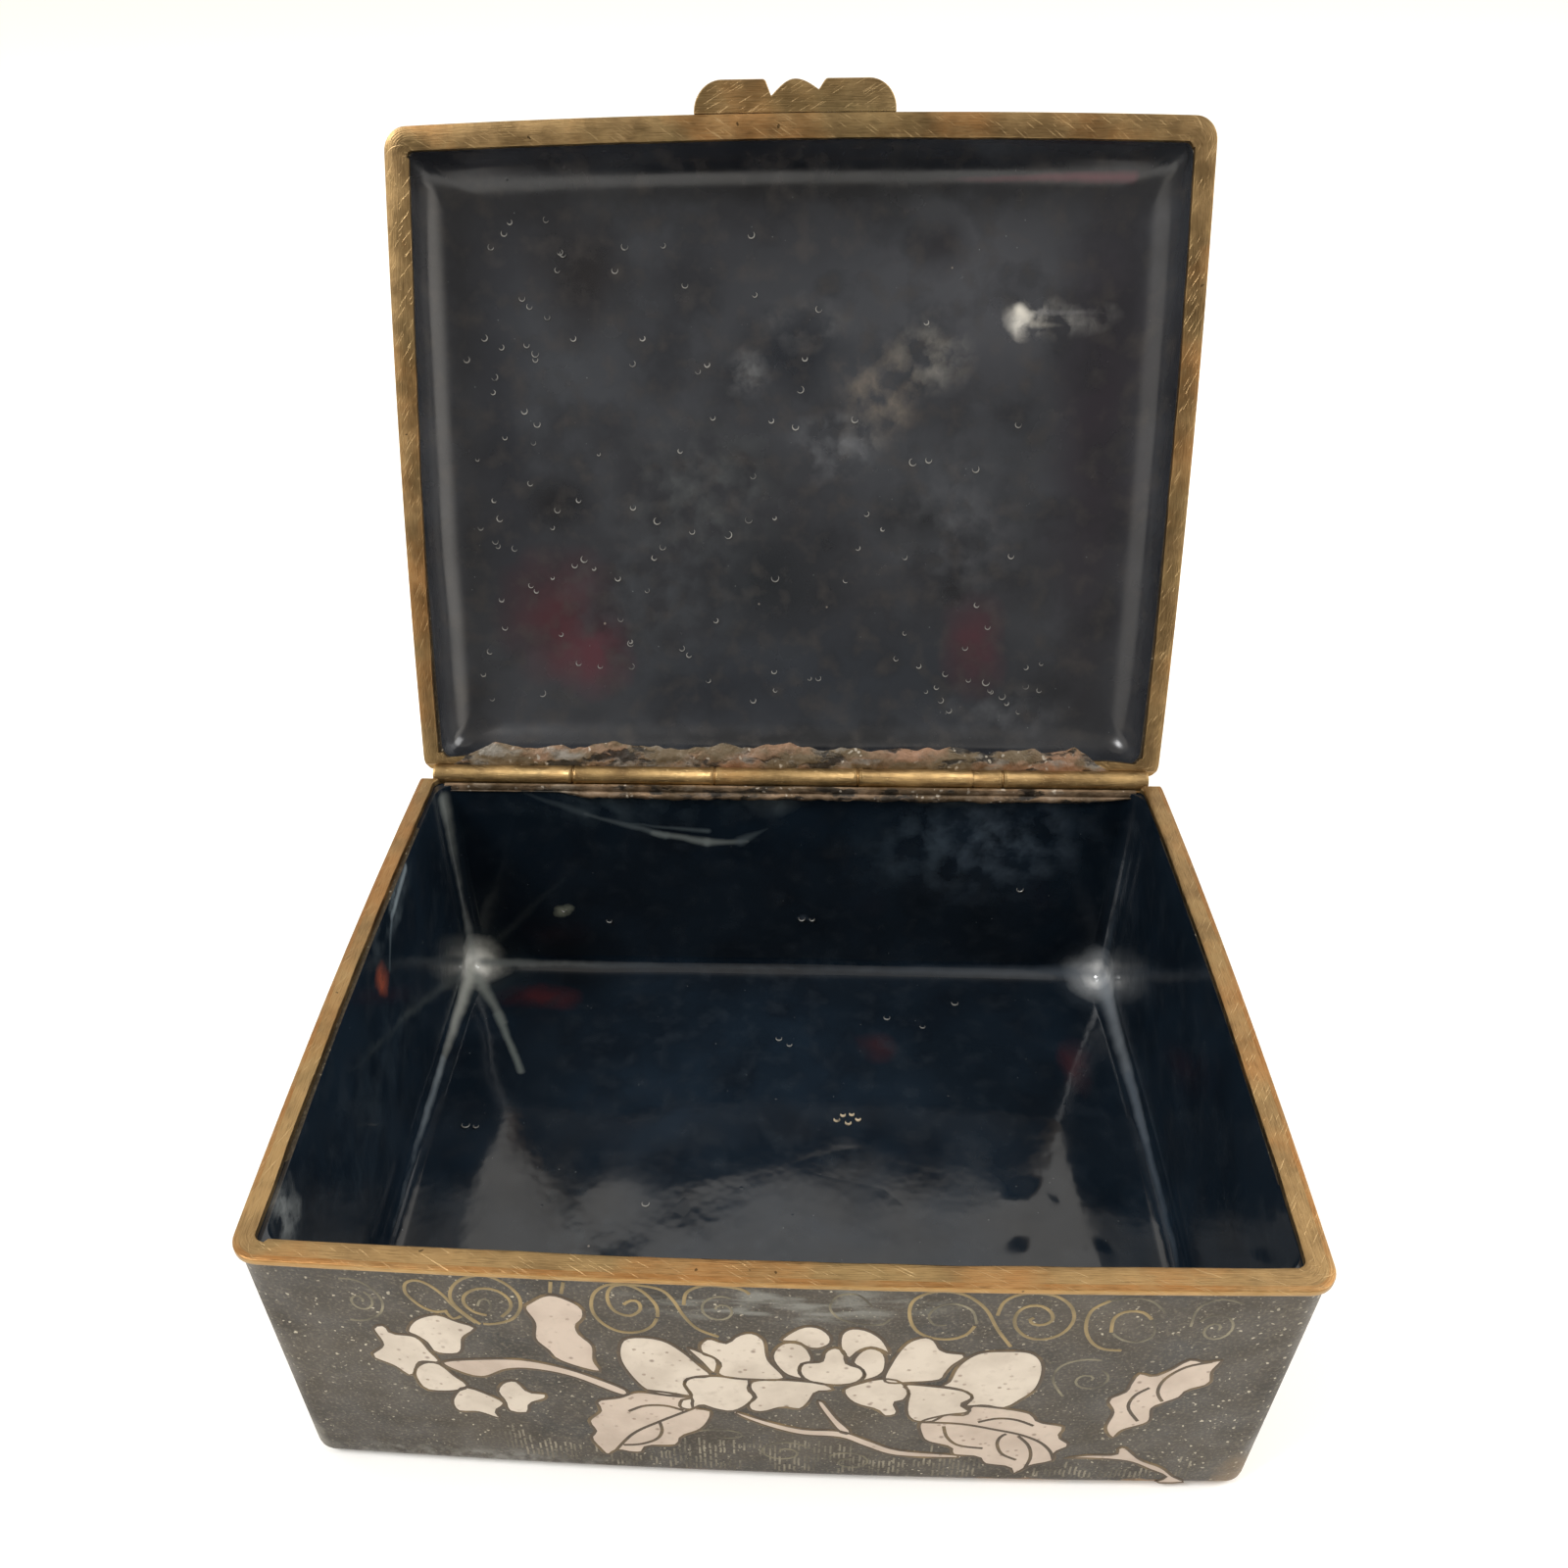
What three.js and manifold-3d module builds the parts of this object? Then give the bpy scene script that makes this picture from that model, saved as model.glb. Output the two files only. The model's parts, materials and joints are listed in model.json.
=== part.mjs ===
// Cloisonne enamel box with a hinged lid, standing open on its base.
// Millimetres, +Z up. The origin is the centre of the underside and the front faces -Y.
// The lid is built closed, about its hinge axis, and then turned back to its open stop.

import * as THREE from "three";
import { mergeVertices } from "three/addons/utils/BufferGeometryUtils.js";
import Module from "manifold-3d";

const wasm = await Module();
wasm.setup();

// Driving dimensions: plan of the rims
const WIDTH = 120; // across the rim's corners
const DEPTH = 96; // front to back across the rim's corners
const CORNER_RADIUS = 3.4;
const RIM_INNER_RADIUS = 1.2;
const FRONT_BOW = 1.0; // how far the front swells out past its corners
const SIDE_BOW = 0.65; // the same for the two sides, while the back is straight

// Brass rims
const RIM_WIDTH = 2.9;
const RIM_THICKNESS = 1.0;
const RIM_EDGE_BREAK = 0.18; // small rounding on every edge of a rim
const RIM_OVERHANG = 0.6; // how far a rim stands out past the enamelled wall

// Enamelled tray
const BOX_HEIGHT = 43; // underside to the top face of the rim
const BOX_WALL = 2.3;
const FLOOR_THICKNESS = 2.6;
const BASE_EDGE_RADIUS = 2.0;
const FLOOR_FILLET = 3.0;
const CAVITY_CORNER_RADIUS = 2.0;

// Enamelled lid
const LID_HEIGHT = 10.6; // rim face to the shoulder's top
const LID_WALL = 2.3;
const LID_TOP_THICKNESS = 2.2;
const LID_SHOULDER_RADIUS = 6.5;
const LID_CROWN = 0.8; // rise of the middle of the lid above its shoulder
const OPEN_ANGLE = 113; // degrees from closed to the open stop

// Hinge
const HINGE_END_INSET = 2.0; // how far the hinge stops short of each side of the box
const KNUCKLE_RADIUS = 1.7;
const KNUCKLE_EDGE_BREAK = 0.15;
const PIN_RADIUS = 0.6;
const AXIS_INSET = 0.5; // hinge axis in from the back edge of the rims
const AXIS_DROP = 0.5; // hinge axis below the rim face of the tray
const KNUCKLE_OWNERS = ["lid", "box", "lid", "box", "lid"]; // from left to right
const KNUCKLE_NAMES = [
  "lid_knuckle_left",
  "box_knuckle_left",
  "lid_knuckle_middle",
  "box_knuckle_right",
  "lid_knuckle_right",
];

// Thumb tab on the front edge of the lid's rim
const TAB_WIDTH = 29;
const TAB_REACH = 4.3;
const TAB_THICKNESS = 1.0;
const TAB_END_RADIUS = 4.0;
const TAB_NOTCH_EDGE = 4.2; // outer edge of each notch, from the middle
const TAB_NOTCH_PLACE = 3.4; // bottom of each notch, from the middle
const TAB_NOTCH_LEFT_DEPTH = 2.15;
const TAB_NOTCH_RIGHT_DEPTH = 1.4;
const TAB_POINT_HALF_WIDTH = 0.9; // roundness of the low point between the notches

// Clearances
const SEAT_GAP = 0.1; // between two soldered or seated pieces
const SEAM_GAP = 0.2; // between the two rims when the lid is down
const TURNING_GAP = 0.3; // round a knuckle of the other half, and round the pin
const KNUCKLE_END_GAP = 0.3; // between two knuckles

// How finely curves are divided
const CORNER_STEPS = 6;
const SIDE_STEPS = 8;
const FILLET_STEPS = 5;
const CROWN_STEPS = 4;
const BARREL_SIDES = 32;
const PIN_SIDES = 20;
const TAB_STEPS = 6;
const EDGE_BREAK_STEPS = 2;
const MERGE_DISTANCE = 1e-4; // corners closer than this are one corner

// Places worked out from the dimensions
const AXIS_Y = DEPTH / 2 - AXIS_INSET;
const AXIS_Z = BOX_HEIGHT - AXIS_DROP;
const LID_RIM_Z = BOX_HEIGHT + SEAM_GAP;
const HINGE_LENGTH = WIDTH - 2 * HINGE_END_INSET;

function quarterTurn(step, steps) {
  return ((Math.PI / 2) * step) / steps;
}

// Outline of the box at a given distance inside the rims' outer edge, with the same number of
// points whatever the inset, counter-clockwise from the front right corner.
function planOutline(inset, radius) {
  const halfWidth = WIDTH / 2 - inset;
  const halfDepth = DEPTH / 2 - inset;
  const cornerX = halfWidth - radius;
  const cornerY = halfDepth - radius;
  const points = [];
  const addCorner = (signX, signY, startAngle) => {
    for (let step = 0; step <= CORNER_STEPS; step++) {
      const angle = startAngle + quarterTurn(step, CORNER_STEPS);
      const x = signX * cornerX + radius * Math.cos(angle);
      const y = signY * cornerY + radius * Math.sin(angle);
      points.push(new THREE.Vector2(x, y));
    }
  };
  const addSide = (sign) => {
    for (let step = 1; step < SIDE_STEPS; step++) {
      const share = (2 * step) / SIDE_STEPS - 1;
      const x = sign * (halfWidth + SIDE_BOW * (1 - share * share));
      points.push(new THREE.Vector2(x, sign * share * cornerY));
    }
  };
  const addFront = () => {
    for (let step = 1; step < SIDE_STEPS; step++) {
      const share = (2 * step) / SIDE_STEPS - 1;
      const y = -(halfDepth + FRONT_BOW * (1 - share * share));
      points.push(new THREE.Vector2(share * cornerX, y));
    }
  };
  addCorner(1, -1, -Math.PI / 2);
  addSide(1);
  addCorner(1, 1, 0);
  addCorner(-1, 1, Math.PI / 2);
  addSide(-1);
  addCorner(-1, -1, Math.PI);
  addFront();
  return points;
}

function cornerRadiusAt(inset, smallest) {
  return Math.max(CORNER_RADIUS - inset, smallest);
}

// Closed solid through a stack of outlines, each { z, points }, from the lowest to the highest.
// A ring may carry the height of its cap's middle as tip.
function stackedGeometry(rings) {
  const count = rings[0].points.length;
  const positions = [];
  const indices = [];
  for (const ring of rings) {
    for (const point of ring.points) positions.push(point.x, point.y, ring.z);
  }
  for (let level = 0; level < rings.length - 1; level++) {
    for (let i = 0; i < count; i++) {
      const next = (i + 1) % count;
      const a = level * count + i;
      const b = level * count + next;
      const c = b + count;
      const d = a + count;
      indices.push(a, b, c, a, c, d);
    }
  }
  const addCap = (level, facingUp) => {
    const ring = rings[level];
    const middle = positions.length / 3;
    positions.push(0, 0, ring.tip ?? ring.z);
    for (let i = 0; i < count; i++) {
      const a = level * count + i;
      const b = level * count + ((i + 1) % count);
      if (facingUp) indices.push(a, b, middle);
      else indices.push(b, a, middle);
    }
  };
  addCap(0, false);
  addCap(rings.length - 1, true);
  const geometry = new THREE.BufferGeometry();
  geometry.setAttribute("position", new THREE.Float32BufferAttribute(positions, 3));
  geometry.setIndex(indices);
  return geometry;
}

function solidFrom(geometry) {
  const bare = geometry.clone();
  bare.deleteAttribute("normal");
  bare.deleteAttribute("uv");
  const merged = mergeVertices(bare, MERGE_DISTANCE);
  return new wasm.Manifold(
    new wasm.Mesh({
      numProp: 3,
      vertProperties: new Float32Array(merged.attributes.position.array),
      triVerts: new Uint32Array(merged.index.array),
    }),
  );
}

function geometryFrom(solid) {
  const mesh = solid.getMesh();
  const geometry = new THREE.BufferGeometry();
  geometry.setAttribute("position", new THREE.BufferAttribute(mesh.vertProperties, 3));
  geometry.setIndex(new THREE.BufferAttribute(mesh.triVerts, 1));
  geometry.computeVertexNormals();
  return geometry;
}

// Materials
const brass = new THREE.MeshStandardMaterial({ color: 0xa88447, metalness: 1, roughness: 0.42 });
const outerEnamel = new THREE.MeshStandardMaterial({ color: 0x4a463f, metalness: 0, roughness: 0.38 });
const innerEnamel = new THREE.MeshStandardMaterial({ color: 0x1a2029, metalness: 0, roughness: 0.2 });

function namedMesh(name, geometry, material) {
  const mesh = new THREE.Mesh(geometry, material);
  mesh.name = name;
  return mesh;
}

// Round bar or tube along X, from a lathe profile of [radius, x] pairs
function barrelGeometry(profile, sides) {
  const points = profile.map(([r, x]) => new THREE.Vector2(r, x));
  const geometry = new THREE.LatheGeometry(points, sides);
  return geometry.rotateZ(-Math.PI / 2);
}

const KNUCKLE_PITCH = (HINGE_LENGTH + KNUCKLE_END_GAP) / KNUCKLE_OWNERS.length;
const KNUCKLE_LENGTH = KNUCKLE_PITCH - KNUCKLE_END_GAP;

function knuckleCentre(index) {
  return (index - (KNUCKLE_OWNERS.length - 1) / 2) * KNUCKLE_PITCH;
}

// Groove along the back of one half: it hugs that half's own knuckles and gives the others room
// to turn. Its end stretches run out past the corners.
function hingeGroove(owner) {
  const overrun = 2 * HINGE_END_INSET;
  let groove = null;
  KNUCKLE_OWNERS.forEach((knuckleOwner, index) => {
    const gap = knuckleOwner === owner ? SEAT_GAP : TURNING_GAP;
    const radius = KNUCKLE_RADIUS + gap;
    const atEnd = index === 0 || index === KNUCKLE_OWNERS.length - 1;
    const half = atEnd ? KNUCKLE_PITCH / 2 + overrun : KNUCKLE_PITCH / 2;
    const profile = [
      [0, -half],
      [radius, -half],
      [radius, half],
      [0, half],
    ];
    const outward = index === 0 ? -1 : 1;
    const shift = atEnd ? outward * overrun : 0;
    const geometry = barrelGeometry(profile, BARREL_SIDES);
    geometry.translate(knuckleCentre(index) + shift, AXIS_Y, AXIS_Z);
    const piece = solidFrom(geometry);
    groove = groove ? groove.add(piece) : piece;
  });
  return groove;
}

// Rim: a flat brass ring with lightly broken edges, its lower face at the given height
function rimGeometry(bottomZ, owner) {
  const shape = new THREE.Shape(planOutline(0, CORNER_RADIUS));
  shape.holes.push(new THREE.Path(planOutline(RIM_WIDTH, RIM_INNER_RADIUS).reverse()));
  const ring = new THREE.ExtrudeGeometry(shape, {
    depth: RIM_THICKNESS - 2 * RIM_EDGE_BREAK,
    bevelEnabled: true,
    bevelThickness: RIM_EDGE_BREAK,
    bevelSize: RIM_EDGE_BREAK,
    bevelOffset: -RIM_EDGE_BREAK,
    bevelSegments: EDGE_BREAK_STEPS,
  });
  ring.translate(0, 0, bottomZ + RIM_EDGE_BREAK);
  return geometryFrom(solidFrom(ring).subtract(hingeGroove(owner)));
}

// Tray: straight enamelled walls with a rounded foot edge, hollow down to a filleted floor
function boxBodyGeometry() {
  const top = BOX_HEIGHT - RIM_THICKNESS - SEAT_GAP;
  const outer = [];
  for (let step = 0; step <= FILLET_STEPS; step++) {
    const angle = quarterTurn(step, FILLET_STEPS);
    const inset = RIM_OVERHANG + BASE_EDGE_RADIUS * (1 - Math.sin(angle));
    const z = BASE_EDGE_RADIUS * (1 - Math.cos(angle));
    outer.push({ z, points: planOutline(inset, cornerRadiusAt(inset, RIM_INNER_RADIUS)) });
  }
  const wallRadius = cornerRadiusAt(RIM_OVERHANG, RIM_INNER_RADIUS);
  outer.push({ z: top, points: planOutline(RIM_OVERHANG, wallRadius) });

  const innerInset = RIM_OVERHANG + BOX_WALL;
  const cavity = [];
  for (let step = 0; step <= FILLET_STEPS; step++) {
    const angle = quarterTurn(step, FILLET_STEPS);
    const inset = innerInset + FLOOR_FILLET * (1 - Math.sin(angle));
    const z = FLOOR_THICKNESS + FLOOR_FILLET * (1 - Math.cos(angle));
    cavity.push({ z, points: planOutline(inset, CAVITY_CORNER_RADIUS) });
  }
  cavity.push({ z: BOX_HEIGHT, points: planOutline(innerInset, CAVITY_CORNER_RADIUS) });

  const tray = solidFrom(stackedGeometry(outer)).subtract(solidFrom(stackedGeometry(cavity)));
  return geometryFrom(tray.subtract(hingeGroove("box")));
}

// Half of the lid's skin, outer or inner: a wall that turns over a round shoulder to a low crown
function lidRings(wallInset, topZ, shoulder, startZ, radius) {
  const rings = [{ z: startZ, points: planOutline(wallInset, radius) }];
  for (let step = 0; step <= FILLET_STEPS; step++) {
    const angle = quarterTurn(step, FILLET_STEPS);
    const inset = wallInset + shoulder * (1 - Math.cos(angle));
    const z = topZ - shoulder * (1 - Math.sin(angle));
    rings.push({ z, points: planOutline(inset, Math.max(radius, inset - wallInset)) });
  }
  const flatInset = wallInset + shoulder;
  const flatReach = DEPTH / 2 - flatInset;
  for (let step = 1; step < CROWN_STEPS; step++) {
    const share = step / CROWN_STEPS;
    const inset = flatInset + share * flatReach;
    const rise = LID_CROWN * Math.sin(share * (Math.PI / 2));
    rings.push({ z: topZ + rise, points: planOutline(inset, shoulder) });
  }
  rings[rings.length - 1].tip = topZ + LID_CROWN;
  return rings;
}

function lidBodyGeometry() {
  const bottom = LID_RIM_Z + RIM_THICKNESS + SEAT_GAP;
  const outerRadius = cornerRadiusAt(RIM_OVERHANG, RIM_INNER_RADIUS);
  const outerTop = LID_RIM_Z + LID_HEIGHT;
  const outer = lidRings(RIM_OVERHANG, outerTop, LID_SHOULDER_RADIUS, bottom, outerRadius);
  const innerInset = RIM_OVERHANG + LID_WALL;
  const innerTop = outerTop - LID_TOP_THICKNESS;
  const innerShoulder = LID_SHOULDER_RADIUS - LID_TOP_THICKNESS;
  const inner = lidRings(innerInset, innerTop, innerShoulder, LID_RIM_Z, CAVITY_CORNER_RADIUS);
  const dish = solidFrom(stackedGeometry(outer)).subtract(solidFrom(stackedGeometry(inner)));
  return geometryFrom(dish.subtract(hingeGroove("lid")));
}

// Thumb tab: a flat plate with round ends and two notches that leave a low point in the middle
function thumbTabGeometry() {
  const half = TAB_WIDTH / 2;
  const cornerX = WIDTH / 2 - CORNER_RADIUS;
  const rootY = (x) => {
    const share = x / cornerX;
    return -(DEPTH / 2 + FRONT_BOW * (1 - share * share)) - SEAT_GAP;
  };
  const tipY = -(DEPTH / 2 + FRONT_BOW + TAB_REACH);
  const shape = new THREE.Shape();
  shape.moveTo(half, rootY(half));
  for (let step = 1; step <= TAB_STEPS; step++) {
    const x = half * (1 - (2 * step) / TAB_STEPS);
    shape.lineTo(x, rootY(x));
  }
  const endRadius = Math.min(TAB_END_RADIUS, TAB_REACH);
  const endY = tipY + endRadius;
  shape.lineTo(-half, endY);
  shape.absarc(-half + endRadius, endY, endRadius, Math.PI, Math.PI * 1.5, false);
  shape.lineTo(-TAB_NOTCH_EDGE, tipY);
  shape.lineTo(-TAB_NOTCH_PLACE, tipY + TAB_NOTCH_LEFT_DEPTH);
  shape.quadraticCurveTo(-TAB_POINT_HALF_WIDTH, tipY, 0, tipY);
  shape.quadraticCurveTo(TAB_POINT_HALF_WIDTH, tipY, TAB_NOTCH_PLACE, tipY + TAB_NOTCH_RIGHT_DEPTH);
  shape.lineTo(TAB_NOTCH_EDGE, tipY);
  shape.absarc(half - endRadius, endY, endRadius, Math.PI * 1.5, Math.PI * 2, false);
  shape.closePath();
  const plate = new THREE.ExtrudeGeometry(shape, {
    depth: TAB_THICKNESS,
    bevelEnabled: false,
    curveSegments: TAB_STEPS,
  });
  return plate.translate(0, 0, LID_RIM_Z);
}

// Knuckle: a short length of tube with broken ends
function knuckleGeometry(index) {
  const half = KNUCKLE_LENGTH / 2;
  const bore = PIN_RADIUS + TURNING_GAP;
  const profile = [
    [bore, -half],
    [KNUCKLE_RADIUS - KNUCKLE_EDGE_BREAK, -half],
    [KNUCKLE_RADIUS, -half + KNUCKLE_EDGE_BREAK],
    [KNUCKLE_RADIUS, half - KNUCKLE_EDGE_BREAK],
    [KNUCKLE_RADIUS - KNUCKLE_EDGE_BREAK, half],
    [bore, half],
    [bore, -half],
  ];
  const geometry = barrelGeometry(profile, BARREL_SIDES);
  return geometry.translate(knuckleCentre(index), AXIS_Y, AXIS_Z);
}

function hingePinGeometry() {
  const half = HINGE_LENGTH / 2;
  const profile = [
    [0, -half],
    [PIN_RADIUS, -half],
    [PIN_RADIUS, half],
    [0, half],
  ];
  return barrelGeometry(profile, PIN_SIDES).translate(0, AXIS_Y, AXIS_Z);
}

// The tray with its rim, its two knuckles and the pin
const box = new THREE.Group();
const boxRimBottom = BOX_HEIGHT - RIM_THICKNESS;
box.add(namedMesh("box_body", boxBodyGeometry(), outerEnamel));
box.add(namedMesh("box_rim", rimGeometry(boxRimBottom, "box"), brass));
box.add(namedMesh("hinge_pin", hingePinGeometry(), brass));

// The lid with its rim, thumb tab and three knuckles, turned about the hinge axis
const lidTurn = new THREE.Group();
lidTurn.position.set(0, AXIS_Y, AXIS_Z);
lidTurn.rotation.x = -THREE.MathUtils.degToRad(OPEN_ANGLE);
const lid = new THREE.Group();
lid.position.set(0, -AXIS_Y, -AXIS_Z);
lidTurn.add(lid);
lid.add(namedMesh("lid_body", lidBodyGeometry(), innerEnamel));
lid.add(namedMesh("lid_rim", rimGeometry(LID_RIM_Z, "lid"), brass));
lid.add(namedMesh("thumb_tab", thumbTabGeometry(), brass));

KNUCKLE_NAMES.forEach((name, index) => {
  const owner = KNUCKLE_OWNERS[index] === "box" ? box : lid;
  owner.add(namedMesh(name, knuckleGeometry(index), brass));
});

const enamelBox = new THREE.Group();
enamelBox.add(box, lidTurn);

export default enamelBox;
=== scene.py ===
import json
import math
import random

import bpy
from mathutils import Matrix, Vector, noise
from mathutils.geometry import delaunay_2d_cdt


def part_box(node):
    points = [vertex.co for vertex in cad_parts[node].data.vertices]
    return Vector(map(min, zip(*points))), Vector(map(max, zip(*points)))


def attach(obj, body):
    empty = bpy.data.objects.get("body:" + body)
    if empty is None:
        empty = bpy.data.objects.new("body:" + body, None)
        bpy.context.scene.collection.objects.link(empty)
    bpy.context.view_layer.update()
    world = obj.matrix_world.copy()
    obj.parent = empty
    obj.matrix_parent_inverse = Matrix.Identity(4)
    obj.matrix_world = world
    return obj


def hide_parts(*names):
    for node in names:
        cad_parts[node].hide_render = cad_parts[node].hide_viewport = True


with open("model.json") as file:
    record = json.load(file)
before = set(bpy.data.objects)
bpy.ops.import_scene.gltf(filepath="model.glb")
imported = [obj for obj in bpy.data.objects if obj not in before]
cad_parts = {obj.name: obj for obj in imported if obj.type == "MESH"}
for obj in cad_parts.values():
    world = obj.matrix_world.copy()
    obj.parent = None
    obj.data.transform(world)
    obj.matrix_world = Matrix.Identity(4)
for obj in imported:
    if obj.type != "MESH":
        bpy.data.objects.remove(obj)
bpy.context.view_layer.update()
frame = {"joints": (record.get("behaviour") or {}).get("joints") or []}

# Tray: sheet copper raised into a box and enamelled on both sides.
# The outside is a dark olive grey, ground flush with its wires and worn dull. The inside is a
# thick navy glaze that stays glossy, with painted highlights glowing in its two back floor corners.
MM = 0.001  # all shapes below are worked out in millimetres and turned to metres once
FRONT_BOW = 1.0
SIDE_BOW = 0.65
rim_low, rim_high = (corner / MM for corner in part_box("box_rim"))
HALF_WIDTH = rim_high.x - SIDE_BOW
HALF_DEPTH = -rim_low.y - FRONT_BOW
BOX_HEIGHT = rim_high.z
WALL_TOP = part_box("box_body")[1].z / MM
WALL_INSET = 0.6
WALL = 2.3
WALL_CORNER = 2.8
FOOT_RADIUS = 2.0
FLOOR_TOP = 2.6
FLOOR_FILLET = 3.0
CORNER_STEPS = 10
SIDE_STEPS = 28
hinge = [joint for joint in frame["joints"] if joint["name"] == "lid_hinge"][0]
AXIS_Y = hinge["pos_m"][1] / MM
AXIS_Z = hinge["pos_m"][2] / MM
OPEN_ANGLE = hinge["range_deg"][1]
KNUCKLE_PITCH = 23.26
KNUCKLE_RADIUS = 1.7
SEAT_GAP = 0.1
TURNING_GAP = 0.3


def plan_loop(inset, radius, height):
    """One loop of points round the box: distance in from the rims' edge, corner radius, height."""
    across, deep = HALF_WIDTH - inset, HALF_DEPTH - inset
    radius = max(min(radius, deep - 0.2), 0.05)
    corner_x, corner_y = across - radius, deep - radius
    points = []
    for quarter, (sign_x, sign_y) in enumerate(((1, -1), (1, 1), (-1, 1), (-1, -1))):
        for step in range(CORNER_STEPS + 1):
            angle = math.radians(90) * (quarter - 1 + step / CORNER_STEPS)
            points.append((sign_x * corner_x + radius * math.cos(angle),
                           sign_y * corner_y + radius * math.sin(angle), height))
        for step in range(1, SIDE_STEPS):
            share = 2 * step / SIDE_STEPS - 1
            swell = 1 - share * share
            points.append([(across + SIDE_BOW * swell, share * corner_y, height),
                           (-share * corner_x, deep, height),
                           (-across - SIDE_BOW * swell, -share * corner_y, height),
                           (share * corner_x, -deep - FRONT_BOW * swell, height)][quarter])
    return points


def quarter_steps(count):
    """Sine and cosine of equal steps through a quarter turn."""
    return [(math.sin(math.pi / 2 * i / count), math.cos(math.pi / 2 * i / count))
            for i in range(count + 1)]


def loft(loops, closed=False):
    """Corners and faces of a skin through loops of equally many points, capped at both ends."""
    count = len(loops[0])
    verts = [point for loop in loops for point in loop]
    faces = []
    for level in range(len(loops) if closed else len(loops) - 1):
        low, high = level * count, (level + 1) % len(loops) * count
        for i in range(count):
            j = (i + 1) % count
            faces.append((low + i, low + j, high + j, high + i))
    if not closed:
        last = len(verts) - count
        for start, facing_on in ((0, False), (last, True)):
            middle = Vector()
            for point in verts[start:start + count]:
                middle += Vector(point) / count
            verts.append(tuple(middle))
            for i in range(count):
                a, b = start + i, start + (i + 1) % count
                faces.append((a, b, len(verts) - 1) if facing_on else (b, a, len(verts) - 1))
    return verts, faces


def new_piece(name, verts, faces, materials, sharp_degrees=35, turned=False):
    """Mesh object from millimetre corners. A turned one is a lid piece, drawn shut and opened."""
    mesh = bpy.data.meshes.new(name)
    mesh.from_pydata([Vector(v) * MM for v in verts], [], faces)
    mesh.update()
    for material in materials:
        mesh.materials.append(material)
    mesh.shade_smooth()
    mesh.set_sharp_from_angle(angle=math.radians(sharp_degrees))
    piece = bpy.data.objects.new(name, mesh)
    bpy.context.scene.collection.objects.link(piece)
    if turned:
        axis = Vector((0, AXIS_Y, AXIS_Z)) * MM
        swing = Matrix.Rotation(math.radians(-OPEN_ANGLE), 4, "X")
        piece.matrix_world = Matrix.Translation(axis) @ swing @ Matrix.Translation(-axis)
    return piece


def roughen(piece, amount, size, keep=lambda point: True):
    """Small hand-made unevenness: pushes the skin in and out by part of a millimetre."""
    normals = [vertex.normal.copy() for vertex in piece.data.vertices]
    for vertex, normal in zip(piece.data.vertices, normals):
        if keep(vertex.co / MM):
            vertex.co += normal * (amount * MM * noise.noise(vertex.co / (size * MM)))


def turned_bar(profile, sides=40, closed=False):
    """Loops of a round piece along the hinge axis, from its [place, radius] pairs in mm."""
    loops = []
    for place, radius in profile:
        loops.append([(place, AXIS_Y + radius * math.cos(2 * math.pi * i / sides),
                       AXIS_Z + radius * math.sin(2 * math.pi * i / sides)) for i in range(sides)])
    return loft(loops, closed)


def cut_hinge_groove(piece, owner):
    """Cuts the back edge for the hinge tubes: close round its own, with room round the others."""
    profile = []
    for index, knuckle_owner in enumerate(("lid", "box", "lid", "box", "lid")):
        radius = KNUCKLE_RADIUS + (SEAT_GAP if knuckle_owner == owner else TURNING_GAP)
        left = -HALF_WIDTH - 4 if index == 0 else (index - 2.5) * KNUCKLE_PITCH
        right = HALF_WIDTH + 4 if index == 4 else (index - 1.5) * KNUCKLE_PITCH
        profile += [(left, radius), (right, radius)]
    groove = new_piece("groove", *turned_bar(profile), [])
    groove.matrix_world = piece.matrix_world
    cut = piece.modifiers.new("groove", "BOOLEAN")
    cut.operation = "DIFFERENCE"
    cut.object = groove
    cut.solver = "EXACT"
    depsgraph = bpy.context.evaluated_depsgraph_get()
    mesh = bpy.data.meshes.new_from_object(piece.evaluated_get(depsgraph))
    piece.modifiers.clear()
    piece.data = mesh
    mesh.set_sharp_from_angle(angle=math.radians(35))
    bpy.data.objects.remove(groove)


tray_loops = [plan_loop(inset, WALL_CORNER, 0) for inset in (46, 34, 22, 12, 6)]
for sine, cosine in quarter_steps(6):
    inset = WALL_INSET + FOOT_RADIUS * (1 - sine)
    tray_loops.append(plan_loop(inset, WALL_CORNER - inset + WALL_INSET, FOOT_RADIUS * (1 - cosine)))
tray_loops += [plan_loop(WALL_INSET, WALL_CORNER, height) for height in (10, 18, 26, 34, WALL_TOP)]
CAVITY_INSET = WALL_INSET + WALL
tray_loops += [plan_loop(CAVITY_INSET, FLOOR_FILLET, height)
               for height in (WALL_TOP, 38, 34, 29, 24, 19, 14, 9)]
for sine, cosine in quarter_steps(10)[::-1]:
    inset = CAVITY_INSET + FLOOR_FILLET * (1 - sine)
    tray_loops.append(plan_loop(inset, FLOOR_FILLET * sine, FLOOR_TOP + FLOOR_FILLET * (1 - cosine)))
tray_loops += [plan_loop(inset, 0.3, FLOOR_TOP) for inset in (8, 11, 15, 20, 26, 32, 38, 44)]


def linear(code):
    """An sRGB hex colour as the linear colour that shaders take."""
    parts = [int(code[i:i + 2], 16) / 255 for i in (1, 3, 5)]
    return (*[p / 12.92 if p <= 0.04045 else ((p + 0.055) / 1.055) ** 2.4 for p in parts], 1)


def add(tree, kind, links=None, **settings):
    """Adds a node with its settings, and its inputs as values or as links from other nodes."""
    node = tree.nodes.new(kind)
    for name, value in settings.items():
        setattr(node, name, value)
    for socket, value in (links or {}).items():
        if isinstance(value, bpy.types.NodeSocket):
            tree.links.new(value, node.inputs[socket])
        else:
            node.inputs[socket].default_value = value
    return node


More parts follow.
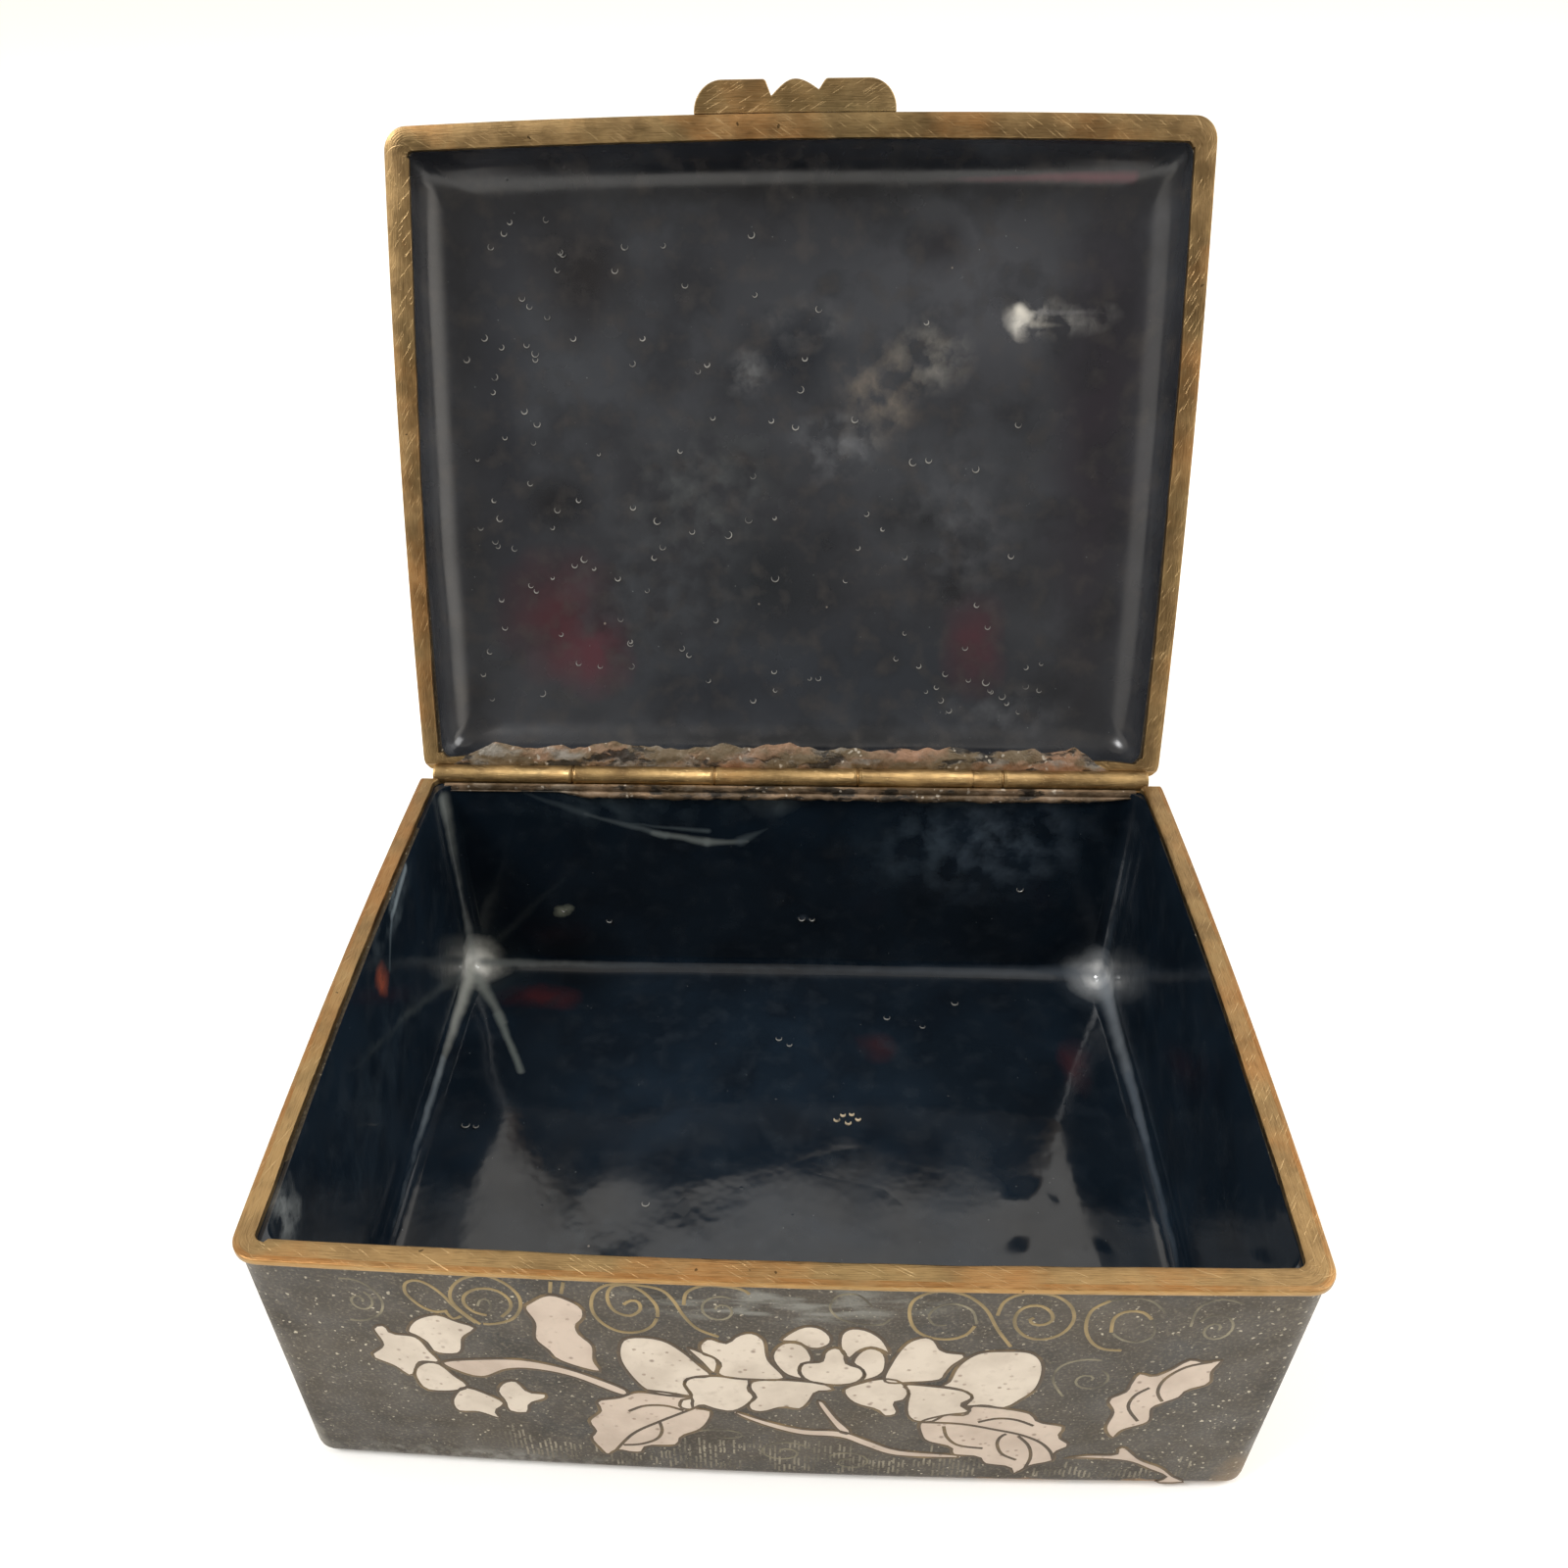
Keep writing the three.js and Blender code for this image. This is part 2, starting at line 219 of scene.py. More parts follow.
def new_surface(name, roughness, metallic=0, ior=1.5):
    """A material with its shader, and the place of each point on the piece in metres."""
    material = bpy.data.materials.new(name)
    material.use_nodes = True
    tree = material.node_tree
    shader = tree.nodes["Principled BSDF"]
    shader.inputs["Roughness"].default_value = roughness
    shader.inputs["Metallic"].default_value = metallic
    shader.inputs["IOR"].default_value = ior
    place = add(tree, "ShaderNodeTexCoord").outputs["Object"]
    return material, tree, shader, place


def mottle(tree, place, size, low, high, detail=4, stretch=None):
    """Cloudy 0 to 1 pattern with features of a real size in mm, cut off between low and high."""
    if stretch:
        place = add(tree, "ShaderNodeVectorMath", {0: place, 1: stretch}, operation="MULTIPLY").outputs[0]
    cloud = add(tree, "ShaderNodeTexNoise", {"Vector": place, "Scale": 1 / (size * MM), "Detail": detail})
    return add(tree, "ShaderNodeMapRange",
               {"Value": cloud.outputs[0], "From Min": low, "From Max": high}).outputs[0]


def dots(tree, place, spacing, radius, soft=0.3):
    """Scattered dots, 1 inside each: mean distance between them and radius, both in mm."""
    cells = add(tree, "ShaderNodeTexVoronoi", {"Vector": place, "Scale": 1 / (spacing * MM)})
    edge = radius / spacing
    return add(tree, "ShaderNodeMapRange", {"Value": cells.outputs["Distance"], "From Min": edge,
                                            "From Max": edge * (1 - soft)}).outputs[0]


def spot(tree, place, middle, reach, soft=0.6, curve="LINEAR", full=1.0):
    """Soft-edged patch round one place, both in mm: full in the middle and 0 at its reach."""
    scale = [1 / (r * MM) for r in reach]
    shift = [-m / r for m, r in zip(middle, reach)]
    share = add(tree, "ShaderNodeVectorMath", {0: place, 1: scale, 2: shift}, operation="MULTIPLY_ADD")
    length = add(tree, "ShaderNodeVectorMath", {0: share.outputs[0]}, operation="LENGTH")
    return add(tree, "ShaderNodeMapRange", {"Value": length.outputs["Value"], "From Min": 1,
                                            "From Max": 1 - soft, "To Max": full},
               interpolation_type=curve).outputs[0]


def streak(tree, place, start, end, width, taper, full):
    """Soft line between two places, in mm: full on the line, 0 at its half width, fainter along it."""
    start, end = Vector(start) * MM, Vector(end) * MM
    along = end - start
    away = add(tree, "ShaderNodeVectorMath", {0: place, 1: start}, operation="SUBTRACT").outputs[0]
    part = add(tree, "ShaderNodeVectorMath", {0: away, 1: along / along.length_squared},
               operation="DOT_PRODUCT")
    share = add(tree, "ShaderNodeClamp", {"Value": part.outputs["Value"]}).outputs[0]
    foot = add(tree, "ShaderNodeVectorMath", {0: along, "Scale": share}, operation="SCALE").outputs[0]
    gap = add(tree, "ShaderNodeVectorMath", {0: away, 1: foot}, operation="DISTANCE").outputs["Value"]
    left = add(tree, "ShaderNodeMapRange", {"Value": share, "To Min": 1, "To Max": 1 - taper}).outputs[0]
    reach = reckon(tree, "MULTIPLY", left, width * MM)
    near = add(tree, "ShaderNodeMapRange", {"Value": gap, "From Min": reach, "From Max": 0, "To Max": full},
               interpolation_type="SMOOTHSTEP").outputs[0]
    return reckon(tree, "MULTIPLY", near, left)


def reckon(tree, operation, first, second):
    """Sum, product or other arithmetic of two values."""
    return add(tree, "ShaderNodeMath", {0: first, 1: second}, operation=operation, use_clamp=True).outputs[0]


def tinted(tree, below, code, share, strength=1.0):
    """Lays a colour over another wherever the share is above 0."""
    if strength != 1.0:
        share = reckon(tree, "MULTIPLY", share, strength)
    top = linear(code) if isinstance(code, str) else code
    bottom = linear(below) if isinstance(below, str) else below
    return add(tree, "ShaderNodeMix", {0: share, 6: bottom, 7: top}, data_type="RGBA").outputs[2]


def layered(tree, colour, layers):
    """Lays tones over a colour one after another, each with its share and its strength."""
    for tone, share, strength in layers:
        colour = tinted(tree, colour, tone, share, strength)
    return colour


def ragged(tree, place, size, reach):
    """The place moved about by a cloud, so that patches laid by it have ragged edges, in mm."""
    cloud = add(tree, "ShaderNodeTexNoise", {"Vector": place, "Scale": 1 / (size * MM), "Detail": 5})
    shift = add(tree, "ShaderNodeVectorMath", {0: cloud.outputs["Color"], 1: (0.5, 0.5, 0.5)},
                operation="SUBTRACT")
    shift = add(tree, "ShaderNodeVectorMath", {0: shift.outputs[0], "Scale": 2 * reach * MM},
                operation="SCALE")
    return add(tree, "ShaderNodeVectorMath", {0: place, 1: shift.outputs[0]}).outputs[0]


def relief(tree, shader, swells):
    """Relief from 0 to 1 heights laid over each other, each with its depth in mm."""
    normal = None
    for height, depth in swells:
        links = {"Height": height, "Distance": depth * MM, "Strength": 1}
        if normal:
            links["Normal"] = normal
        normal = add(tree, "ShaderNodeBump", links).outputs[0]
    tree.links.new(normal, shader.inputs["Normal"])


def coat(tree, shader, colour, dull=None):
    """Gives the shader its colour and, where it changes over the piece, its roughness."""
    tree.links.new(colour, shader.inputs["Base Color"])
    if dull:
        share, low, high = dull
        rough = add(tree, "ShaderNodeMapRange", {"Value": share, "To Min": low, "To Max": high})
        tree.links.new(rough.outputs[0], shader.inputs["Roughness"])


# Dull opaque enamel: ground and polished flush by hand, then worn, so it has pinholes, pale
# grains, clouded tone and a satin face rather than a gloss
GROUND_GREY = "#322A1E"
GROUND_DARK = "#221D14"
GROUND_HAZE = "#453C2E"
GRAIN_PALE = "#C0B6A0"


def worn_enamel(name):
    """Ground enamel, with more pale grains at the front's worn ends and stains along its foot."""
    material, tree, shader, place = new_surface(name, 0.45, ior=1.5)
    loose = ragged(tree, place, 4, 2.5)
    uneven = ragged(tree, place, 0.5, 0.35)
    left_worn = spot(tree, loose, (-50, -48, 31), (15, 14, 15))
    right_worn = spot(tree, loose, (52, -48, 20), (12, 14, 30))
    worn = reckon(tree, "MAXIMUM", left_worn, right_worn)
    crowd = reckon(tree, "MAXIMUM", mottle(tree, place, 8, 0.48, 0.62), worn)
    grains = reckon(tree, "MULTIPLY", dots(tree, uneven, 1.2, 0.2), crowd)
    sand = reckon(tree, "MULTIPLY", dots(tree, uneven, 0.75, 0.12), mottle(tree, place, 5, 0.4, 0.62))
    pinholes = dots(tree, uneven, 2.1, 0.16)
    streaks = mottle(tree, place, 1.3, 0.46, 0.62, detail=9, stretch=(0.25, 0.25, 1))
    under_tab = reckon(tree, "MULTIPLY", spot(tree, loose, (2, -48, 38.5), (21, 6, 5)), streaks)
    low_haze = reckon(tree, "MULTIPLY", spot(tree, loose, (-38, -47, 1.6), (26, 6, 3)),
                      mottle(tree, place, 1.5, 0.4, 0.6))
    colour = layered(tree, GROUND_GREY, [
        (GROUND_DARK, mottle(tree, place, 7, 0.45, 0.68), 1),
        (GROUND_HAZE, mottle(tree, place, 16, 0.42, 0.66, detail=8), 0.75),
        ("#6A6150", mottle(tree, place, 0.4, 0.5, 0.72, detail=3), 0.6),
        ("#25221D", mottle(tree, place, 0.5, 0.6, 0.75, detail=2), 0.5),
        (GRAIN_PALE, grains, 0.9),
        ("#ADA38D", sand, 0.85),
        ("#1B1916", pinholes, 0.85),
        ("#85867F", under_tab, 0.6),
        ("#7F7D76", low_haze, 0.7),
        ("#7E796C", spot(tree, loose, (-59, -44, 3), (3, 5, 9)), 0.7),
        ("#8A6534", spot(tree, loose, (44, -47, 0.2), (36, 7, 1.4)), 0.9),
        ("#80643A", spot(tree, loose, (57.5, -44.5, 1), (4, 5, 9)), 0.7),
        ("#5C4630", spot(tree, loose, (-10, -47, 0.2), (30, 7, 1.1)), 0.7),
        ("#7A7263", spot(tree, loose, (-58, -45, 41), (4, 4, 2.5)), 0.7),
    ])
    coat(tree, shader, colour, (mottle(tree, place, 6, 0.35, 0.7), 0.42, 0.66))
    relief(tree, shader, [(mottle(tree, place, 3.5, 0.3, 0.7), 0.03), (pinholes, -0.05),
                          (mottle(tree, place, 0.35, 0.3, 0.7), 0.02)])
    return material


# Glossy lining glaze: fired thick and left as it melted, so it is wet-looking and wavy, with
# pinholes and dust; some of the patches and streaks laid on it are painted highlights, painted shade and a
# painted reflection
GLAZE_NAVY = "#101922"
GLAZE_BLUE = "#17222D"


def lining_glaze(name, base, cloud, dark, haze, patches, smudges, streaks, roughness, dishes=()):
    """Patches are spots of another tone, among them painted highlights, painted shade and a painted
    reflection; smudges are broken up by fine rubbing; dishes are dents.
    """
    material, tree, shader, place = new_surface(name, roughness, ior=1.52)
    loose = ragged(tree, place, 6, 2.6)
    frayed = ragged(tree, place, 2, 0.9)
    wavy = ragged(tree, place, 5, 0.5)
    colour = tinted(tree, base, cloud, mottle(tree, place, 20, 0.4, 0.68, detail=8))
    for middle, reach, tone, full in patches:
        colour = tinted(tree, colour, tone, spot(tree, loose, middle, reach, soft=0.8, full=full))
    colour = layered(tree, colour, [
        (dark, mottle(tree, frayed, 7, 0.45, 0.66, detail=8), 0.55),
        (haze, mottle(tree, place, 3.5, 0.5, 0.72, detail=8), 0.35),
    ])
    rubbed = mottle(tree, frayed, 4, 0.42, 0.72, detail=8)
    for middle, reach, tone, full in smudges:
        patch = spot(tree, loose, middle, reach, soft=1, full=full)
        colour = tinted(tree, colour, tone, reckon(tree, "MULTIPLY", patch, rubbed))
    for start, end, width, taper, tone, full in streaks:
        colour = tinted(tree, colour, tone, streak(tree, wavy, start, end, width, taper, full))
    dust = reckon(tree, "MULTIPLY", dots(tree, place, 2.6, 0.11), mottle(tree, place, 12, 0.42, 0.6))
    colour = layered(tree, colour, [("#7C8081", dust, 0.55), ("#A0958A", dots(tree, place, 13, 0.22), 0.45)])
    coat(tree, shader, colour, (mottle(tree, place, 9, 0.45, 0.75, detail=7), roughness, roughness + 0.12))
    swells = [(mottle(tree, place, 5, 0.3, 0.7, detail=2), 0.018)]
    swells += [(spot(tree, place, middle, reach, soft=1, curve="SMOOTHERSTEP"), depth)
               for middle, reach, depth in dishes]
    relief(tree, shader, swells + [(dots(tree, place, 6, 0.3, soft=0.8), 0.035)])
    return material


tray_outer = worn_enamel("worn_olive_enamel_tray")
tray_inner = lining_glaze("navy_lining_glaze_tray", GLAZE_NAVY, GLAZE_BLUE, "#0A0F16", "#2B333B", [
    ((-2.5, 45.1, 42), (6, 2.5, 6), "#5C666B", 0.8),
    ((28, 45.1, 42), (11, 2.5, 3.5), "#5F696E", 0.8),
    ((-38.9, 45.1, 15.8), (1.5, 2.5, 1.5), "#8F9484", 1.0),
    ((3.3, 45.1, 14.7), (1.3, 2.5, 1.0), "#3E4650", 0.8),
    ((-57.6, 6, 34.7), (2.5, 3.2, 3.4), "#8A4632", 1.0),
    ((-42.8, 36.7, 2.6), (8, 4, 3), "#4A2226", 0.8),
    ((49, 22.7, 2.6), (3.4, 8, 3), "#3A2228", 0.8),
    ((16.3, 26.3, 2.6), (4, 4, 3), "#2E1D22", 0.8),
    ((30, 45.1, 30), (22, 4, 14), "#222D39", 0.8),
    # Painted highlights: pale halos round the two back floor corners, with near-white cores
    ((-56, 43.6, 4), (11, 11, 9), "#3A4347", 0.7),
    ((56, 43.6, 4), (10, 10, 8), "#3C444C", 0.75),
    ((-56.3, 44.0, 4.2), (7.0, 6.8, 6.0), "#DDDDD6", 1.0),
    ((-56.4, 44.1, 4.0), (4.4, 4.4, 4.0), "#FFFFFB", 1.0),
    ((56.3, 44.0, 4.2), (7.4, 7.0, 5.8), "#A5A8AA", 1.0),
    ((56.4, 44.1, 4.0), (3.9, 3.9, 3.4), "#F4F4F2", 1.0),
], [
    ((34, 45.1, 31), (20, 4, 13), "#566370", 0.9),
    ((20, 45.1, 30), (12, 4, 10), "#3A4751", 0.8),
    ((-25, 45.1, 40), (26, 4, 7), "#4A575F", 0.6),
    ((-57.2, -38.5, 38), (3, 5, 6), "#A5ABAC", 1.0),
    ((-57.6, 16, 40), (3, 12, 4), "#6F7C84", 0.8),
    ((-57.6, -5, 22), (3, 30, 16), "#323D46", 0.6),
    ((-30, -22, 2.6), (14, 22, 3), "#3B454C", 0.5),
    ((10, -30, 2.6), (34, 16, 3), "#343C42", 0.7),
], [
    # Painted highlights: pale arms running out from the two back floor corners, along the floor edges, up the
    # corners and across the floor
    ((-56, 44.6, 3.4), (-30, 44.8, 3.2), 1.6, 0.8, "#A2A7A3", 0.85),
    ((-56, 44.6, 3.4), (34, 44.8, 3.2), 1.3, 0.75, "#535C62", 0.6),
    ((56, 44.6, 3.4), (-10, 44.8, 3.2), 2.2, 0.8, "#535B64", 0.7),
    ((-56.9, 43, 3.4), (-57.3, 14, 3.2), 2.4, 0.7, "#B4B7B0", 0.9),
    ((-57.1, 20, 3.4), (-57.3, -20, 3.2), 1.1, 0.6, "#6A737A", 0.8),
    ((56.9, 43, 3.4), (57.3, 6, 3.2), 2.6, 0.6, "#7C838A", 0.85),
    ((56.9, 20, 3.4), (57.3, -34, 3.2), 1.2, 0.5, "#4A535D", 0.8),
    ((-56.9, 44.6, 4), (-57.1, 44.8, 24), 1.9, 0.45, "#A9AFAC", 0.85),
    ((-57.1, 44.8, 40), (-57.0, 44.8, 18), 2.2, 0.45, "#9BA29E", 0.85),
    ((56.9, 44.4, 4), (57.2, 44.8, 34), 1.8, 0.5, "#3E4852", 0.8),
    ((-55.5, 41.5, 2.6), (-48.5, 30, 2.6), 1.8, 0.5, "#8D938F", 0.85),
    ((-50, 32, 2.6), (-43.4, 18.5, 2.6), 1.1, 0.2, "#747C79", 0.8),
    # Craze lines in the back wall's glaze, and two thin lines high on the left wall
    ((-33, 45.1, 36.6), (-43, 45.1, 40.6), 1.2, 0.6, "#454F55", 0.7),
    ((-20, 45.1, 32.2), (-33, 45.1, 36.6), 1.1, 0.5, "#616B6F", 0.75),
    ((-13, 45.1, 31.0), (-22, 45.1, 32.7), 1.1, 0.2, "#7C8483", 0.85),
    ((-13, 45.1, 31.0), (-6.5, 45.1, 31.4), 1.1, 0.5, "#7C8483", 0.85),
    ((-7.5, 45.1, 31.4), (-3.0, 45.1, 34), 1.4, 0.8, "#5A6469", 0.7),
    ((-13, 45.1, 33.2), (-27, 45.1, 34.8), 0.8, 0.6, "#566166", 0.7),
    ((-57.8, 24, 41.2), (-57.7, 15, 39.2), 1.3, 0.3, "#93A0A8", 0.9),
    ((-57.7, 15, 39.2), (-57.6, 9.5, 33.5), 1.0, 0.4, "#5C6870", 0.8),
], 0.085, dishes=[
    ((9, 22, 2.6), (40, 50, 12), 1.0),
    ((40, 12, 2.6), (20, 34, 12), 0.45),
    ((38, -5.6, 2.6), (5.5, 5.5, 9), 0.26),
    ((36, -16, 2.6), (5, 5, 9), 0.22),
    ((46, -15, 2.6), (3.5, 4, 9), 0.15),
    ((-24, -12, 2.6), (9, 12, 9), -0.25),
])

verts, faces = loft(tray_loops)
tray = new_piece("tray_shell", verts, faces, [tray_outer, tray_inner])


def within(point, inset_x, inset_y):
    """Whether a place in mm lies inside the rims' edge by more than these insets."""
    return abs(point.x) < HALF_WIDTH - inset_x and abs(point.y) < HALF_DEPTH - inset_y


LINING_EDGE = WALL_INSET + WALL * 0.4
for polygon in tray.data.polygons:
    middle = polygon.center / MM
    polygon.material_index = 1 if within(middle, LINING_EDGE, LINING_EDGE) and middle.z > 1 else 0
roughen(tray, 0.22, 13, lambda p: p.z > 1.5 and within(p, CAVITY_INSET - 1, CAVITY_INSET - 0.2))
cut_hinge_groove(tray, "box")
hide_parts("box_body")
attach(tray, "box")

# Wall picture: cells of ivory enamel between thin brass wires bent on edge, all ground flush.
# The wires have gone dark brown between the petals and olive gold where they curl over the ground.
SINK = 0.25
WIRE = 0.5
SCROLL_WIRE = 0.42
FAINT_WIRE = 0.3
STROKE_WIRE = 0.26
WIRE_STEP = 0.5
CELL_GRID = 1.6


def line_through(points, closed=True, steps=5):
    """Smooth line through given points."""
    count = len(points)
    line = []
    for i in range(count if closed else count - 1):
        if closed:
            near = [points[(i + k) % count] for k in (-1, 0, 1, 2)]
        else:
            near = [points[min(max(i + k, 0), count - 1)] for k in (-1, 0, 1, 2)]
        for step in range(steps):
            t = step / steps
            line.append(tuple(0.5 * (2 * b + (c - a) * t + (2 * a - 5 * b + 4 * c - d) * t * t
                                     + (3 * b - a - 3 * c + d) * t ** 3) for a, b, c, d in zip(*near)))
    if not closed:
        line.append(tuple(points[-1]))
    return line


def holds(outline, point):
    """Whether a flat point lies inside an outline."""
    inside = False
    for (x1, y1), (x2, y2) in zip(outline, outline[1:] + outline[:1]):
        if (y1 > point[1]) != (y2 > point[1]) and point[0] < (x2 - x1) * (point[1] - y1) / (y2 - y1) + x1:
            inside = not inside
    return inside


def add_plate(verts, faces, outline, inner, top_at, bottom_at):
    """A thin closed plate over a flat outline: its two faces lie where the two functions say."""
    flat, _, tris, _, _, _ = delaunay_2d_cdt([Vector(p) for p in outline + inner], [],
                                             [list(range(len(outline)))], 1, 1e-4)
    top, bottom = len(verts), len(verts) + len(flat)
    verts.extend(top_at(p.x, p.y) for p in flat)
    verts.extend(bottom_at(p.x, p.y) for p in flat)
    edges = {}
    for a, b, c in tris:
        if (flat[b] - flat[a]).cross(flat[c] - flat[a]) < 0:
            b, c = c, b
        faces.append((top + a, top + b, top + c))
        faces.append((bottom + a, bottom + c, bottom + b))
        for edge in ((a, b), (b, c), (c, a)):
            if edge[::-1] in edges:
                del edges[edge[::-1]]
            else:
                edges[edge] = True
    for a, b in edges:
        faces.append((top + b, top + a, bottom + a, bottom + b))


def add_cell(verts, faces, outline, place, lift):
    """One cell's enamel: a thin closed tile that follows the wall and is sunk into it."""
    low = [min(p[k] for p in outline) for k in (0, 1)]
    high = [max(p[k] for p in outline) for k in (0, 1)]
    inner = []
    for i in range(int((high[0] - low[0]) / CELL_GRID)):
        for j in range(int((high[1] - low[1]) / CELL_GRID)):
            point = (low[0] + (i + 0.5) * CELL_GRID, low[1] + (j + 0.5) * CELL_GRID)
            if holds(outline, point):
                inner.append(point)
    add_plate(verts, faces, outline, inner, lambda u, v: place(u, v, lift), lambda u, v: place(u, v, -SINK))


def add_strip(verts, faces, rows, closed=False):
    """Skin along rows of equally many points, with flat ends unless it runs back into itself."""
    start, size = len(verts), len(rows[0])
    verts.extend(point for row in rows for point in row)
    for i in range(len(rows) if closed else len(rows) - 1):
        here, on = start + i * size, start + (i + 1) % len(rows) * size
        for k in range(size):
            m = (k + 1) % size
            faces.append((here + k, on + k, on + m, here + m))
    if not closed:
        faces.append(tuple(range(start, start + size)))
        faces.append(tuple(range(len(verts) - size, len(verts)))[::-1])


def add_wire(verts, faces, line, place, width, lift, closed):
    """A wire on edge along a flat line: only its top shows, a hair proud of the enamel."""
    even, left_over = [line[0]], 0.0
    for a, b in zip(line, line[1:] + (line[:1] if closed else [])):
        left_over += math.dist(a, b)
        if left_over >= WIRE_STEP:
            even.append(b)
            left_over = 0.0
    if closed and math.dist(even[-1], even[0]) < WIRE_STEP / 2:
        even.pop()
    count = len(even)
    if count < 3:
        return
    section = ((-0.5, -SINK), (-0.5, 0.3 * lift), (-0.25, lift),
               (0.25, lift), (0.5, 0.3 * lift), (0.5, -SINK))
    rows = []
    for i, (u, v) in enumerate(even):
        before = even[i - 1] if closed or i > 0 else even[i]
        after = even[(i + 1) % count] if closed or i < count - 1 else even[i]
        along = Vector((after[0] - before[0], after[1] - before[1])).normalized()
        rows.append([place(u - along.y * side * width, v + along.x * side * width, height)
                     for side, height in section])
    add_strip(verts, faces, rows, closed)


def moved(points, shift=(0, 0), scale=1.0, mirror=False, turn=0.0):
    """Points scaled, mirrored side to side, turned in degrees and then moved."""
    sine, cosine = math.sin(math.radians(turn)), math.cos(math.radians(turn))
    out = []
    for u, v in points:
        u, v = (-u if mirror else u) * scale, v * scale
        out.append((shift[0] + u * cosine - v * sine, shift[1] + u * sine + v * cosine))
    return out


def scroll(middle, radius, turns, start, hand=1, squash=1.0):
    """A curled wire: from an outer turn in to a small hook in the middle."""
    steps = int(turns * 28)
    points = []
    for i in range(steps + 1):
        share = i / steps
        reach = radius * (1 - 0.85 * share ** 1.15)
        angle = math.radians(start) + hand * 2 * math.pi * turns * share
        points.append((middle[0] + reach * math.cos(angle), middle[1] + squash * reach * math.sin(angle)))
    return points
